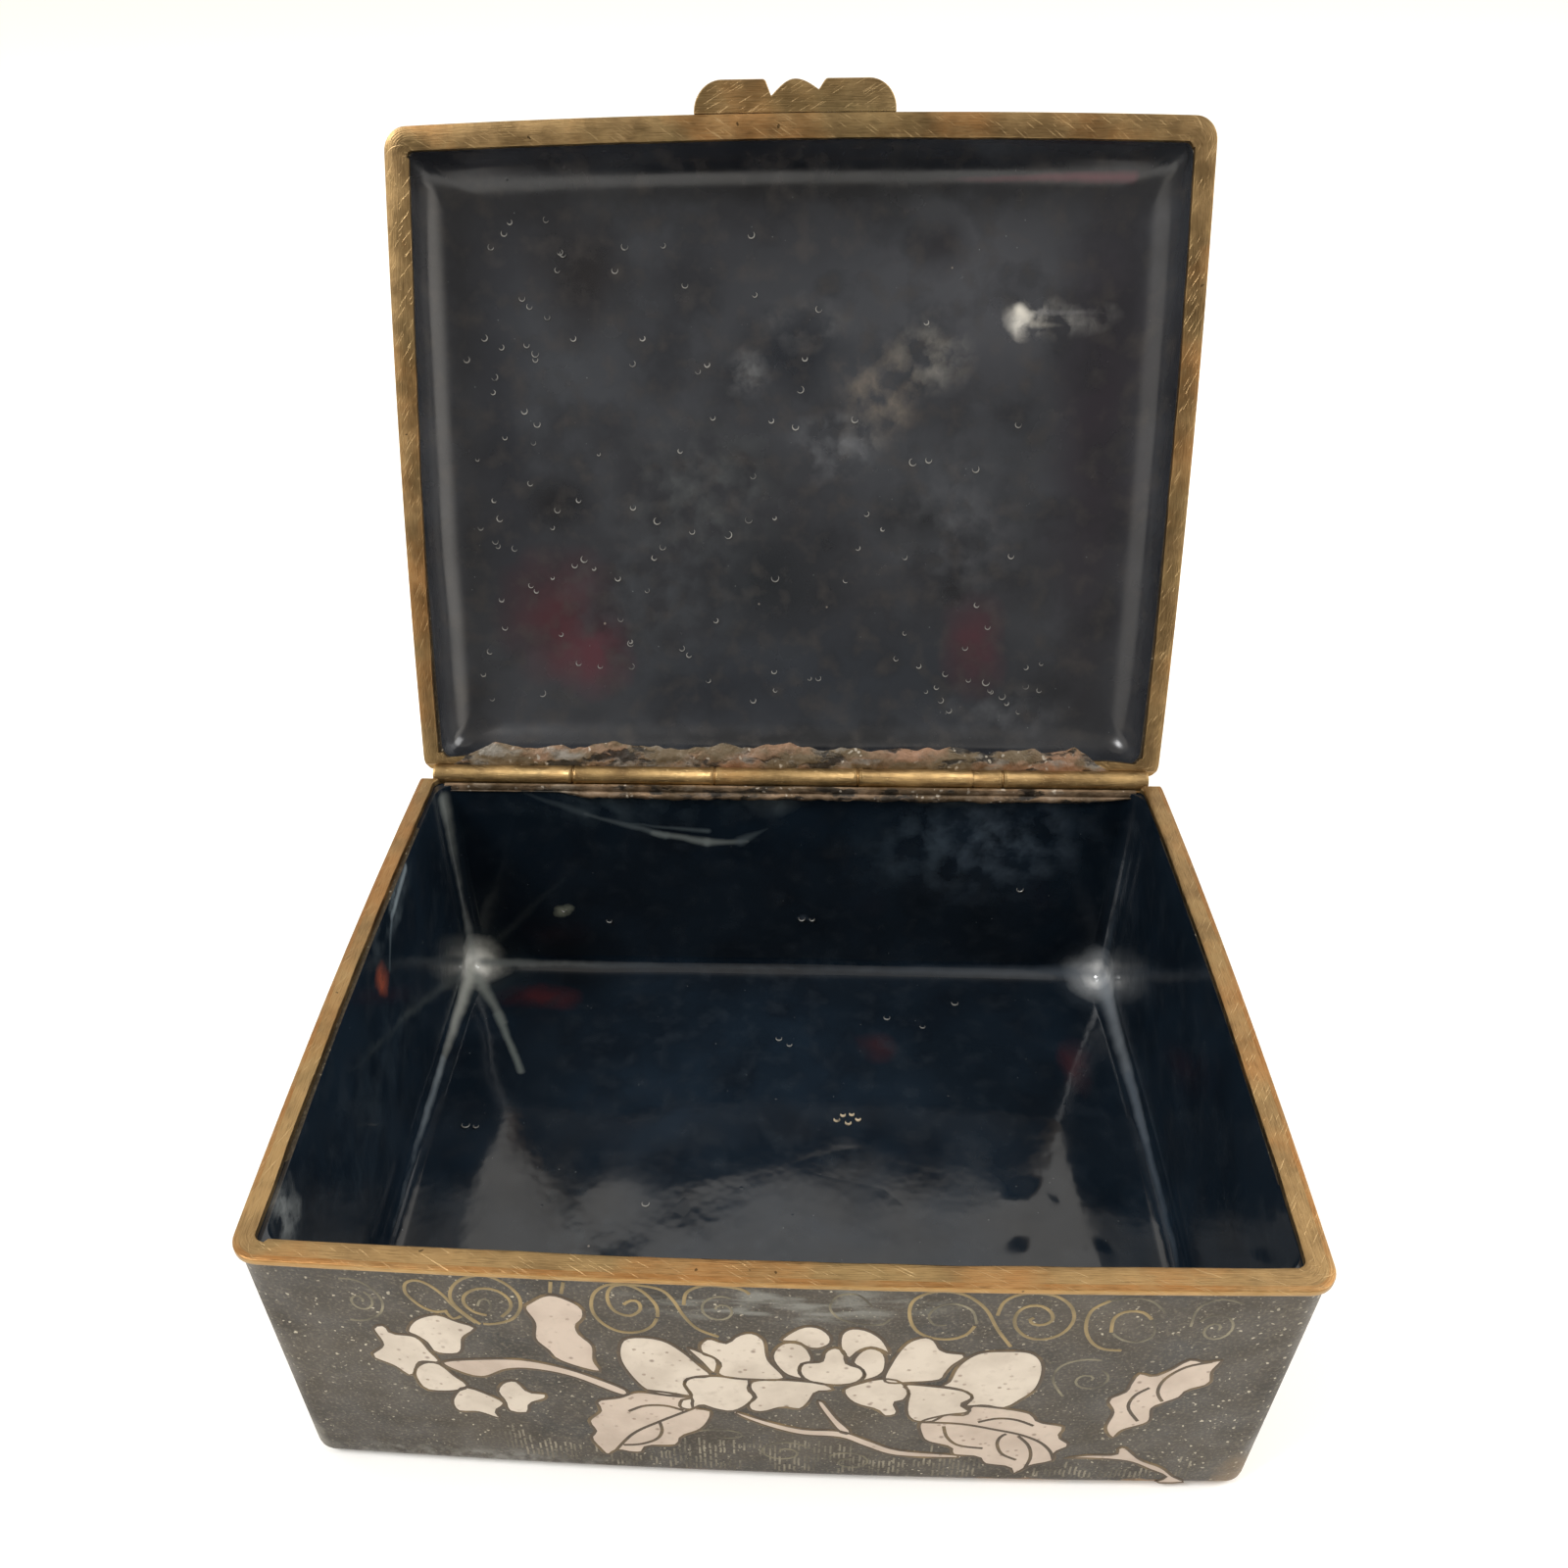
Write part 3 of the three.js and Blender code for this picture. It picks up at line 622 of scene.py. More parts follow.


# The front's peony, leaves and sprays, each outline listed as points: mm across from the middle of the
# wall, and mm up from the base
petals = {
    "heart": [(5.7, 27.4), (6.0, 29.3), (7.1, 30.2), (8.2, 29.3), (8.5, 27.1), (10.2, 26.1),
        (10.6, 24.5), (9.5, 22.9), (7.1, 22.4), (4.3, 23.1), (3.2, 24.8), (3.5, 26.7), (5.0, 27.1)],
    "round_left": [(2.0, 31.0), (3.7, 30.3), (4.6, 27.5), (3.4, 26.7), (3.1, 25.0), (3.6, 23.6),
        (1.8, 24.2), (0.6, 25.9), (0.0, 28.1), (0.7, 30.2)],
    "round_right": [(9.2, 27.3), (9.9, 29.4), (11.1, 30.3), (12.5, 29.5), (13.0, 27.5), (12.6, 25.0),
        (10.6, 23.6), (10.7, 24.8), (10.2, 26.1)],
    "crest_left": [(1.0, 31.4), (2.0, 32.9), (3.6, 34.2), (5.3, 34.0), (6.5, 32.5), (6.5, 30.9),
        (5.2, 29.9), (4.0, 30.1), (2.9, 31.1), (1.8, 31.2)],
    "crest_right": [(7.6, 31.2), (7.8, 33.1), (8.9, 34.1), (10.7, 33.7), (12.4, 31.9), (13.4, 29.0),
        (12.5, 29.9), (11.1, 30.5), (9.8, 29.7), (8.8, 28.2), (7.9, 29.5)],
    "wing_left": [(-8.2, 29.8), (-7.1, 31.2), (-5.2, 30.4), (-3.9, 32.0), (-2.3, 32.6), (-0.9, 31.2),
        (-0.4, 27.3), (1.4, 23.5), (-2.1, 23.1), (-5.1, 23.3), (-6.3, 24.2), (-5.9, 26.0), (-6.7, 27.4),
        (-7.9, 28.1)],
    "wing_right": [(13.1, 23.5), (13.6, 27.5), (15.0, 31.3), (16.8, 32.7), (18.1, 32.1), (19.2, 30.0),
        (21.8, 29.3), (20.5, 27.1), (19.9, 25.6), (19.3, 24.1), (16.6, 23.5)],
    "fold_left": [(-9.7, 29.2), (-8.0, 28.3), (-6.4, 27.0), (-6.4, 25.0), (-6.9, 24.2), (-8.1, 26.4)],
    "outer_left": [(-17.5, 28.6), (-16.7, 30.5), (-14.6, 31.0), (-12.2, 30.4), (-10.2, 28.4),
        (-8.4, 25.7), (-7.1, 23.5), (-9.6, 22.9), (-10.3, 21.4), (-9.6, 18.9), (-12.6, 18.9),
        (-14.8, 19.8), (-16.3, 22.2), (-17.5, 25.7)],
    "outer_right": [(20.4, 23.8), (21.2, 27.2), (23.1, 29.7), (25.9, 30.3), (29.1, 30.0), (30.7, 27.4),
        (30.6, 22.9), (29.0, 20.1), (27.3, 18.3), (25.0, 18.8), (22.8, 18.6), (23.4, 20.6), (21.9, 22.1),
        (19.7, 22.8)],
    "skirt_left": [(-10.3, 21.5), (-9.3, 23.0), (-6.5, 23.5), (-3.7, 23.1), (-2.6, 22.8), (-2.8, 20.8),
        (-2.1, 19.2), (-3.4, 16.9), (-5.0, 15.8), (-7.0, 16.3), (-8.4, 17.0), (-9.8, 15.9),
        (-11.0, 16.4), (-10.7, 18.0), (-9.5, 18.7)],
    "skirt_middle": [(-2.3, 22.6), (-0.4, 23.1), (2.9, 23.1), (6.2, 22.5), (7.1, 21.2), (5.2, 20.8),
        (4.4, 18.6), (3.3, 16.9), (1.3, 17.2), (-1.0, 16.0), (-2.5, 16.3), (-2.8, 17.7), (-1.9, 19.2),
        (-2.6, 21.1)],
    "skirt_right": [(8.5, 21.7), (10.3, 23.0), (12.5, 24.0), (14.7, 23.6), (15.9, 21.4), (15.5, 19.6),
        (14.4, 18.9), (14.9, 16.6), (13.5, 15.9), (12.4, 17.3), (10.0, 18.4), (8.7, 20.0)],
    "skirt_far": [(15.9, 19.0), (16.0, 21.4), (15.3, 22.9), (18.6, 22.7), (22.2, 21.9), (23.4, 20.4),
        (22.2, 18.9), (23.3, 17.5), (22.7, 16.5), (20.6, 16.5), (19.2, 15.0), (17.2, 14.9), (16.1, 16.4)],
    "bud_top": [(-41.9, 30.0), (-40.5, 32.4), (-37.9, 33.6), (-35.9, 32.5), (-33.8, 31.3), (-35.5, 29.2),
        (-36.0, 26.8), (-36.9, 25.7), (-39.3, 25.8), (-40.0, 27.8), (-41.0, 29.1)],
    "bud_left": [(-45.9, 30.1), (-44.4, 30.8), (-43.9, 29.3), (-41.1, 28.8), (-39.9, 25.9),
        (-39.2, 23.8), (-41.6, 23.5), (-43.1, 20.4), (-44.9, 22.4), (-47.2, 24.3), (-45.4, 26.8)],
    "bud_heart": [(-42.4, 21.9), (-40.9, 23.5), (-39.2, 23.3), (-37.8, 21.0), (-36.5, 18.9),
        (-38.3, 17.5), (-41.6, 17.4), (-42.6, 19.5)],
    "bud_low": [(-36.7, 18.5), (-34.2, 17.1), (-32.5, 15.3), (-33.8, 13.4), (-33.6, 11.7), (-36.0, 12.9),
        (-38.5, 12.9), (-39.0, 14.9), (-38.1, 17.2)],
    "bud_right": [(-33.0, 18.0), (-32.0, 20.0), (-30.4, 20.4), (-29.2, 18.2), (-27.2, 17.9),
        (-27.4, 16.8), (-29.3, 15.5), (-29.9, 13.4), (-32.1, 13.6), (-32.4, 15.9)],
}
leaves = {
    "leaf_left": [(-7.4, 15.8), (-9.5, 16.4), (-9.6, 18.7), (-12.6, 18.9), (-15.9, 19.3), (-18.3, 17.9),
        (-21.0, 16.9), (-20.8, 14.7), (-22.4, 12.2), (-21.8, 9.9), (-22.5, 8.1), (-21.5, 5.5),
        (-20.7, 4.2), (-19.5, 5.5), (-17.7, 5.1), (-16.3, 5.3), (-15.5, 6.8), (-11.9, 7.4), (-11.1, 9.5),
        (-8.8, 11.3), (-7.6, 13.6)],
    "leaf_right": [(17.8, 14.7), (20.5, 16.4), (23.2, 17.2), (23.6, 18.6), (27.3, 18.2), (30.5, 17.2),
        (31.8, 15.3), (34.8, 14.3), (34.6, 12.0), (36.1, 10.0), (34.6, 8.2), (34.6, 6.2), (32.0, 4.9),
        (30.3, 2.9), (29.4, 4.5), (26.4, 5.2), (25.4, 6.8), (22.3, 7.3), (21.8, 9.0), (19.0, 10.2),
        (18.1, 11.7)],
    "leaf_far": [(50.4, 28.9), (48.7, 28.5), (46.8, 29.0), (45.0, 26.9), (43.4, 25.6), (41.7, 26.1),
        (41.1, 24.0), (40.8, 22.2), (39.1, 20.4), (40.1, 17.7), (39.8, 14.2), (41.0, 11.9), (41.9, 13.7),
        (44.6, 15.6), (44.5, 18.6), (45.6, 19.8), (47.2, 21.1), (47.8, 22.6), (50.0, 24.1), (49.8, 26.6)],
    "leaf_tall": [(-27.6, 35.7), (-26.8, 36.9), (-24.9, 38.4), (-23.1, 38.1), (-21.1, 36.3),
        (-21.1, 34.3), (-22.0, 32.8), (-21.8, 31.0), (-20.5, 28.8), (-20.6, 25.7), (-20.1, 23.5),
        (-22.6, 24.2), (-25.0, 25.7), (-25.8, 27.4), (-27.1, 29.7), (-26.8, 32.9)],
    "stem_left": [(-38.8, 23.7), (-34.6, 24.8), (-29.3, 25.2), (-24.6, 24.0), (-20.4, 21.8),
        (-17.3, 19.6), (-18.1, 18.6), (-23.3, 21.9), (-27.6, 23.2), (-31.1, 23.0), (-34.1, 21.1),
        (-36.4, 21.5)],
    "stem_middle": [(-4.2, 15.7), (-0.4, 13.8), (3.8, 12.3), (8.3, 12.1), (11.8, 10.1), (15.6, 8.0),
        (22.4, 7.2), (22.4, 6.5), (15.3, 6.7), (11.4, 8.7), (8.3, 10.6), (3.6, 11.0), (-0.4, 12.6),
        (-3.8, 14.8)],
    "stem_fork": [(5.4, 18.3), (6.0, 18.7), (7.8, 15.0), (9.6, 12.0), (8.4, 11.8), (6.8, 14.8)],
    "stem_right": [(36.0, 6.8), (38.6, 7.7), (42.0, 7.9), (42.1, 9.3), (42.8, 9.7), (43.8, 8.5),
        (45.4, 6.6), (48.1, 4.9), (49.9, 2.8), (51.5, 1.3), (48.2, 1.2), (49.2, 2.6), (46.8, 4.4),
        (43.6, 6.4), (38.6, 7.0)],
}
veins = [
    [(-9.5, 16.1), (-13.7, 12.8), (-17.1, 9.7), (-19.7, 5.2)],
    [(-17.3, 14.9), (-15.3, 16.3), (-12.7, 16.5), (-10.5, 15.5)],
    [(-13.7, 12.8), (-13.5, 10.6), (-14.3, 8.6), (-16.4, 7.2), (-18.7, 6.8)],
    [(-14.8, 19.8), (-12.5, 19.5), (-9.6, 18.8)],
    [(17.8, 14.7), (22.6, 14.5), (27.0, 13.3), (29.9, 12.3), (32.4, 10.7), (34.0, 8.5), (34.7, 6.2)],
    [(20.6, 13.9), (21.2, 11.4), (22.8, 9.5), (26.0, 8.9)],
    [(30.1, 6.3), (28.2, 7.7), (27.4, 10.0), (27.6, 11.7), (28.3, 12.5)],
    [(29.7, 12.0), (31.2, 9.8), (31.8, 7.0), (31.4, 4.2)],
    [(24.6, 15.0), (26.7, 15.9), (29.0, 15.7), (31.4, 14.3)],
    [(49.4, 28.6), (46.7, 27.5), (44.8, 25.0), (44.5, 22.2), (45.6, 19.8)],
    [(43.4, 23.1), (42.0, 21.4), (41.7, 18.8), (43.3, 15.8)],
]
scroll_curls = [
    [(-33.6, 32.3), (-34.6, 33.7), (-35.7, 35.5), (-36.7, 37.7), (-38.1, 39.5), (-39.4, 40.0),
        (-40.5, 39.3), (-40.8, 37.6), (-40.1, 36.0), (-39.2, 34.8), (-37.9, 34.1), (-36.4, 34.5)],
    [(-36.8, 34.4), (-36.1, 32.9), (-35.0, 33.6)],
    [(-33.1, 32.1), (-35.0, 34.6), (-35.8, 36.9), (-35.2, 39.2), (-33.5, 41.0), (-31.2, 41.5),
        (-29.2, 40.2), (-28.0, 38.0), (-28.1, 35.6), (-29.3, 33.4), (-31.4, 32.3), (-33.0, 32.2)],
    [(-30.4, 33.8), (-29.2, 35.5), (-29.2, 37.4), (-30.5, 38.9), (-32.4, 39.0), (-34.0, 37.8),
        (-34.4, 36.1), (-33.5, 34.5), (-32.0, 33.9)],
    [(-12.7, 35.1), (-12.8, 37.4), (-14.2, 39.9), (-16.0, 41.0), (-17.9, 40.8), (-19.5, 39.1),
        (-20.0, 36.2), (-19.2, 33.7), (-17.4, 32.0), (-15.2, 31.9), (-13.5, 33.2), (-12.7, 35.2)],
    [(-16.0, 41.0), (-17.3, 40.6), (-18.0, 39.2), (-18.0, 37.3), (-17.3, 35.7), (-15.8, 35.1),
        (-14.6, 36.3), (-14.7, 37.8), (-15.6, 38.0), (-16.5, 37.0)],
    [(-16.0, 41.0), (-14.1, 40.9), (-12.0, 40.2), (-10.8, 38.3), (-9.8, 35.5), (-8.3, 33.0), (-5.8, 31.5)],
    [(-9.7, 37.6), (-9.3, 39.9), (-7.7, 41.2), (-5.3, 41.3), (-3.2, 40.8), (-2.2, 39.6)],
    [(-24.1, 41.0), (-24.4, 38.7)],
    [(-22.7, 41.0), (-23.2, 38.6)],
    [(26.6, 31.2), (24.8, 34.5), (23.2, 38.2), (21.1, 40.6), (18.9, 41.4), (16.8, 41.1), (15.2, 39.5),
        (15.0, 36.9), (15.8, 34.2), (17.5, 32.7), (19.7, 32.4), (21.5, 33.4), (22.4, 35.5)],
    [(24.5, 37.2), (24.9, 39.6), (26.2, 41.0), (28.2, 41.4), (30.4, 40.9), (32.2, 39.0), (32.8, 36.4),
        (31.9, 33.9), (30.0, 32.7), (28.1, 33.2), (26.7, 35.1), (26.5, 37.3), (27.3, 38.8), (28.9, 39.1),
        (30.2, 37.9), (30.5, 36.4), (29.6, 35.5), (28.5, 35.7), (28.1, 36.6), (28.9, 37.0)],
    [(36.2, 40.2), (34.5, 38.4), (34.3, 35.3), (35.2, 32.6), (36.8, 31.0), (39.1, 30.7)],
    [(37.2, 34.3), (37.1, 36.9), (38.2, 38.2), (40.0, 38.1), (41.4, 36.5)],
]
worn_curls = [
    [(-48.0, 39.6), (-46.3, 39.5), (-44.7, 38.2), (-43.8, 35.7), (-44.5, 33.2), (-46.6, 31.6),
        (-48.3, 31.6)],
    [(-32.9, 35.7), (-32.4, 36.9), (-31.6, 37.0), (-31.4, 35.6), (-31.8, 34.8)],
    [(12.9, 36.0), (12.0, 34.9), (9.5, 35.0), (7.3, 36.0), (6.3, 38.1), (7.2, 40.2), (9.3, 40.4),
        (10.9, 38.3)],
    [(22.4, 35.5), (21.7, 38.0), (19.7, 39.2), (17.9, 38.5), (17.1, 36.7), (17.9, 35.1), (19.5, 35.2)],
    [(42.4, 38.1), (40.8, 40.0), (38.9, 40.7), (36.2, 40.2)],
    [(41.4, 36.5), (41.9, 33.9), (40.6, 32.4), (38.7, 32.8), (37.2, 34.3)],
    [(33.8, 21.0), (32.4, 23.8), (32.2, 26.1), (33.2, 27.9), (35.3, 28.8), (37.5, 28.6)],
    [(45.6, 35.5), (45.8, 39.0), (47.9, 40.6), (50.5, 39.7)],
]
worn_spirals = [
    scroll((36.2, 24.6), 2.4, 1.2, 60, -1),
    scroll((-5.7, 36.8), 2.4, 1.4, 60, 1, 1.1),
    scroll((-46.4, 35.5), 1.6, 1.3, 60, -1, 1.3),
    scroll((48.4, 35.0), 2.2, 1.5, 150, -1, 1.3),
    scroll((1.5, 6.6), 3.4, 1.4, 30, 1, 0.75),
    scroll((9.6, 4.8), 3.0, 1.3, 150, -1, 0.75),
    scroll((-6.0, 10.2), 3.4, 1.0, 150, -1, 0.4),
]


def bent(points):
    """Smooth open line through given points."""
    return line_through(points, closed=False, steps=8)


def on_front(u, v, lift):
    share = u / (HALF_WIDTH - WALL_INSET - WALL_CORNER)
    return (u, -(HALF_DEPTH - WALL_INSET + FRONT_BOW * (1 - share * share) + lift), v)


def on_back(u, v, lift):
    return (-u, HALF_DEPTH - WALL_INSET + lift, v)


def on_right(u, v, lift, sign=1):
    share = u / (HALF_DEPTH - WALL_INSET - WALL_CORNER)
    return (sign * (HALF_WIDTH - WALL_INSET + SIDE_BOW * (1 - share * share) + lift), sign * u, v)


def on_left(u, v, lift):
    return on_right(u, v, lift, sign=-1)


# Opaque ivory enamel: a little pitted and stained brown in its pinholes, pinker on the leaves
def ivory_enamel(name, light, shade):
    material, tree, shader, place = new_surface(name, 0.4, ior=1.5)
    pits = reckon(tree, "MULTIPLY", dots(tree, place, 1.3, 0.26), mottle(tree, place, 3, 0.42, 0.56))
    coat(tree, shader, layered(tree, light, [
        (shade, mottle(tree, place, 5, 0.42, 0.68), 1),
        ("#B3A595", mottle(tree, place, 1.2, 0.56, 0.75, detail=6), 0.7),
        ("#8A7463", pits, 0.7),
        ("#6F5847", dots(tree, place, 3.2, 0.38, soft=0.6), 0.75),
    ]))
    relief(tree, shader, [(pits, -0.05), (mottle(tree, place, 0.8, 0.3, 0.7), 0.02)])
    return material


# Cloison wire: brass on edge, sanded flush; tarnished brown, gold only where hands still rub it
def cloison_wire(name, dark, gold, share_low, share_high):
    material, tree, shader, place = new_surface(name, 0.5, metallic=0.35)
    coat(tree, shader, tinted(tree, dark, gold, mottle(tree, place, 4, share_low, share_high)))
    relief(tree, shader, [(mottle(tree, place, 0.4, 0.3, 0.7), 0.01)])
    return material


ivory = ivory_enamel("ivory_enamel", "#CCC0B0", "#BBAE9E")
blush = ivory_enamel("blush_enamel", "#C2B1A1", "#B09E8E")
petal_wire = cloison_wire("tarnished_wire", "#4A3D2E", "#7E6844", 0.48, 0.75)
scroll_wire = cloison_wire("olive_gold_wire", "#6F6143", "#978257", 0.35, 0.65)
faint_wire = cloison_wire("worn_wire", "#4A4436", "#857D66", 0.4, 0.66)
stroke_wire = cloison_wire("keying_wire", "#514A3D", "#8C8472", 0.4, 0.64)


def lay_inlay(name, panels, body, turned=False):
    """Cells and wires of one part of the picture, as one piece for each material."""
    kinds = {"petals": ([], [], ivory), "leaves": ([], [], blush), "wires": ([], [], petal_wire),
             "scrolls": ([], [], scroll_wire), "faint": ([], [], faint_wire),
             "strokes": ([], [], stroke_wire)}
    for place, shapes in panels:
        for kind in ("petals", "leaves"):
            for index, outline in enumerate(shapes[kind]):
                loop = line_through(outline)
                add_cell(*kinds[kind][:2], loop, place, 0.022 + 0.0015 * (index % 8))
                add_wire(*kinds["wires"][:2], loop, place, WIRE, 0.05, True)
        for line in shapes["veins"]:
            add_wire(*kinds["wires"][:2], bent(line), place, WIRE, 0.052, False)
        for kind, width, lift in (("scrolls", SCROLL_WIRE, 0.04), ("faint", FAINT_WIRE, 0.018),
                                  ("strokes", STROKE_WIRE, 0.018)):
            for line in shapes.get(kind, ()):
                add_wire(*kinds[kind][:2], line, place, width, lift, False)
    for kind, (verts, faces, material) in kinds.items():
        if verts:
            piece = new_piece(f"{name}_{kind}", verts, faces, [material], turned=turned)
            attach(piece, body)


# Short upright wires that key the enamel in the lower part of each wall, worn away in places
STROKE_PITCH = 0.62


def hatch(left, right, low, high, seed):
    random.seed(seed)
    strokes = []
    for column in range(int((right - left) / STROKE_PITCH)):
        u = left + column * STROKE_PITCH + random.uniform(-0.1, 0.1)
        worn = noise.noise(Vector((u / 9, seed, 0)))
        top = low + (high - low) * (0.75 + 0.5 * worn)
        v = low + random.uniform(0, 0.8)
        while v < top:
            length = random.uniform(0.9, 2.0)
            if noise.noise(Vector((u / 5, v / 3, seed))) > -0.12:
                lean = random.uniform(-0.08, 0.08)
                strokes.append([(u, v), (u + lean, v + length / 2), (u, v + length)])
            v += length + random.uniform(0.25, 0.5)
    return strokes


front_hatch = hatch(-34, -23, 2.6, 9, 3) + hatch(-22, 34, 1.8, 10, 4) + hatch(34, 52, 2.2, 6.0, 6)
front_picture = {
    "petals": petals.values(),
    "leaves": leaves.values(),
    "veins": veins,
    "scrolls": [bent(curl) for curl in scroll_curls],
    "faint": [bent(curl) for curl in worn_curls] + worn_spirals,
    "strokes": [stroke for stroke in front_hatch
                if not any(holds(outline, p) for outline in leaves.values() for p in stroke)],
}
lay_inlay("front", [(on_front, front_picture)], "box")

# The other walls, which the photo doesn't show, carry plainer sprays over the same scroll ground
flower = ("heart", "round_left", "round_right", "crest_left", "crest_right", "wing_left", "wing_right",
          "skirt_left", "skirt_middle", "skirt_right", "skirt_far", "outer_left", "outer_right")
flower_leaves = ("leaf_left", "leaf_right", "stem_middle", "stem_fork")
spray = ("bud_top", "bud_left", "bud_heart", "bud_low", "bud_right")


def scroll_row(left, right, height, radius, spacing):
    """Scrolls side by side, every second one curled the other way."""
    count = int((right - left) / spacing)
    row = []
    for i in range(count):
        start, hand = (160, -1) if i % 2 else (20, 1)
        row.append(scroll((left + (i + 0.5) * (right - left) / count, height), radius, 2.2, start, hand, 1.1))
    return row


def group(names, source, **move):
    """Some of the front's outlines, moved to another place."""
    return [moved(source[name], **move) for name in names]


side_spray = {
    "petals": group(spray, petals, shift=(25, -3), scale=0.95),
    "leaves": group(("leaf_tall", "stem_left"), leaves, shift=(25, -3), scale=0.95)
    + group(("leaf_right",), leaves, shift=(-10, 2)),
    "veins": [moved(line, shift=(-10, 2)) for line in veins[4:9]],
    "scrolls": scroll_row(-41, 41, 37, 3.8, 10.2),
    "strokes": hatch(-40, 40, 2.2, 7, 5),
}
back_spray = {
    "petals": group(flower, petals, shift=(7, -1), mirror=True),
    "leaves": group(flower_leaves, leaves, shift=(7, -1), mirror=True),
    "veins": [moved(line, shift=(7, -1), mirror=True) for line in veins[:9]],
    "scrolls": scroll_row(-52, 52, 36, 3.6, 10.4),
    "strokes": hatch(-50, 50, 2.0, 6.5, 7),
}
lay_inlay("sides", [(on_right, side_spray), (on_left, side_spray)], "box")
lay_inlay("back", [(on_back, back_spray)], "box")

# Rims: flat strips of brass mitred, soldered on the edges of tray and lid and filed flat by hand,
# so their inner edges wander. Each is cut away along the back for the hinge tubes.
RIM_WIDTH = 2.9
RIM_THICKNESS = 1.0
RIM_CORNER = 3.4
RIM_INNER_CORNER = 1.2
EDGE_BREAK = 0.2
RIM_PARTING = 0.2
LID_RIM_LOW = BOX_HEIGHT + RIM_PARTING


def rim_piece(name, low, extra, turned, pared=None):
    """A flat ring with softened edges: extra says how much wider it is at a place, pared how low."""
    outer = plan_loop(0, RIM_CORNER, 0)
    inner = plan_loop(RIM_WIDTH, RIM_INNER_CORNER, 0)
    top, bottom, width, soft = low + RIM_THICKNESS, low, RIM_WIDTH, EDGE_BREAK
    section = [(0, bottom + soft), (0, bottom + 0.35), (0, top - 0.35), (0, top - soft),
               (soft * 0.3, top - soft * 0.3), (soft, top), (0.7, top), (width * 0.5, top),
               (width - 0.9, top), (width - 0.7, top), (width - soft, top),
               (width - soft * 0.3, top - soft * 0.3), (width, top - soft), (width, bottom + soft),
               (width - soft * 0.3, bottom + soft * 0.3), (width - soft, bottom), (width * 0.5, bottom),
               (soft, bottom), (soft * 0.3, bottom + soft * 0.3)]
    loops = []
    for inset, height in section:
        loop = []
        for (x1, y1, _), (x2, y2, _) in zip(outer, inner):
            share = inset / width
            wander = (extra(x2, y2) + 0.12 * noise.noise(Vector((x2 / 7, y2 / 7, low)))
                      + 0.05 * noise.noise(Vector((x2, y2, 9)) / 1.6))
            share *= 1 + wander * share * share / width
            dent = 0.03 * noise.noise(Vector((x1 + inset, y1, height)) / 5) if 0 < inset < width else 0
            filed_to = pared(x2, y2, inset) if pared else None
            tall = min(height + dent, filed_to) if filed_to else height + dent
            loop.append((x1 + (x2 - x1) * share, y1 + (y2 - y1) * share, tall))
        loops.append(loop)
    verts, faces = loft(loops, closed=True)
    piece = new_piece(name, verts, faces, [rim_brass], sharp_degrees=50, turned=turned)
    lengths = [0.0]
    for (x1, y1, _), (x2, y2, _) in zip(outer, outer[1:] + outer[:1]):
        lengths.append(lengths[-1] + math.hypot(x2 - x1, y2 - y1))
    layer = piece.data.uv_layers.new(name="along_rim")
    count, across = len(outer), [0.0]
    for (a, b), (c, d) in zip(section, section[1:] + section[:1]):
        across.append(across[-1] + math.hypot(c - a, d - b))
    for polygon in piece.data.polygons:
        level, i = divmod(polygon.index, count)
        for corner, (du, dv) in zip(polygon.loop_indices, ((0, 0), (1, 0), (1, 1), (0, 1))):
            layer.data[corner].uv = (lengths[i + du] * MM, across[level + dv] * MM)
    return piece


# Old brass: filed and rubbed bright along its length, browned in the hollows, orange where bare
# copper shows at the solder, with fine cross scratches
def old_brass(name, bright, brown, orange, green=0.25, roughness=0.38, along_rim=False):
    material, tree, shader, place = new_surface(name, roughness, metallic=1)
    loose = ragged(tree, place, 3, 1.5)
    along = add(tree, "ShaderNodeTexCoord").outputs["UV"] if along_rim else place
    colour = layered(tree, bright, [
        (brown, mottle(tree, place, 5, 0.42, 0.7, detail=7), 0.8),
        (orange, mottle(tree, loose, 12, 0.5, 0.66, detail=5), 0.75),
        ("#6F6A48", mottle(tree, place, 13, 0.5, 0.7), green),
    ])
    if along_rim:
        across = add(tree, "ShaderNodeSeparateXYZ", {0: along}).outputs["Y"]
        near = add(tree, "ShaderNodeMath", {0: across, 1: 0.98 * MM, 2: 0.42 * MM}, operation="COMPARE")
        seam = reckon(tree, "MULTIPLY", near.outputs[0], mottle(tree, place, 7, 0.3, 0.55))
        outside = add(tree, "ShaderNodeMapRange", {"Value": across, "From Min": 0.8 * MM,
                                                   "From Max": 0.6 * MM}).outputs[0]
        colour = layered(tree, colour, [("#8E5F31", seam, 0.75), ("#A5824E", outside, 0.6)])
    brushed = mottle(tree, along, 0.14, 0.35, 0.7, detail=3, stretch=(0.05, 1, 1))
    grime = mottle(tree, along, 0.2, 0.52, 0.72, detail=4, stretch=(0.09, 1, 1))
    slant = add(tree, "ShaderNodeMapping", {"Vector": along, "Rotation": (0, 0, math.radians(28))}).outputs[0]
    scratches = mottle(tree, slant, 0.2, 0.62, 0.69, detail=2, stretch=(0.05, 1, 1))
    colour = layered(tree, colour, [
        ("#C0A478", brushed, 0.25),
        ("#4E3D28", grime, 0.45),
        ("#CDB184", scratches, 0.4),
        ("#33281B", dots(tree, loose, 5, 0.25), 0.75),
    ])
    coat(tree, shader, colour, (mottle(tree, place, 4, 0.4, 0.7), roughness - 0.06, roughness + 0.16))
    relief(tree, shader, [(brushed, 0.014), (scratches, -0.016), (mottle(tree, place, 2.5, 0.3, 0.7), 0.03)])
    return material


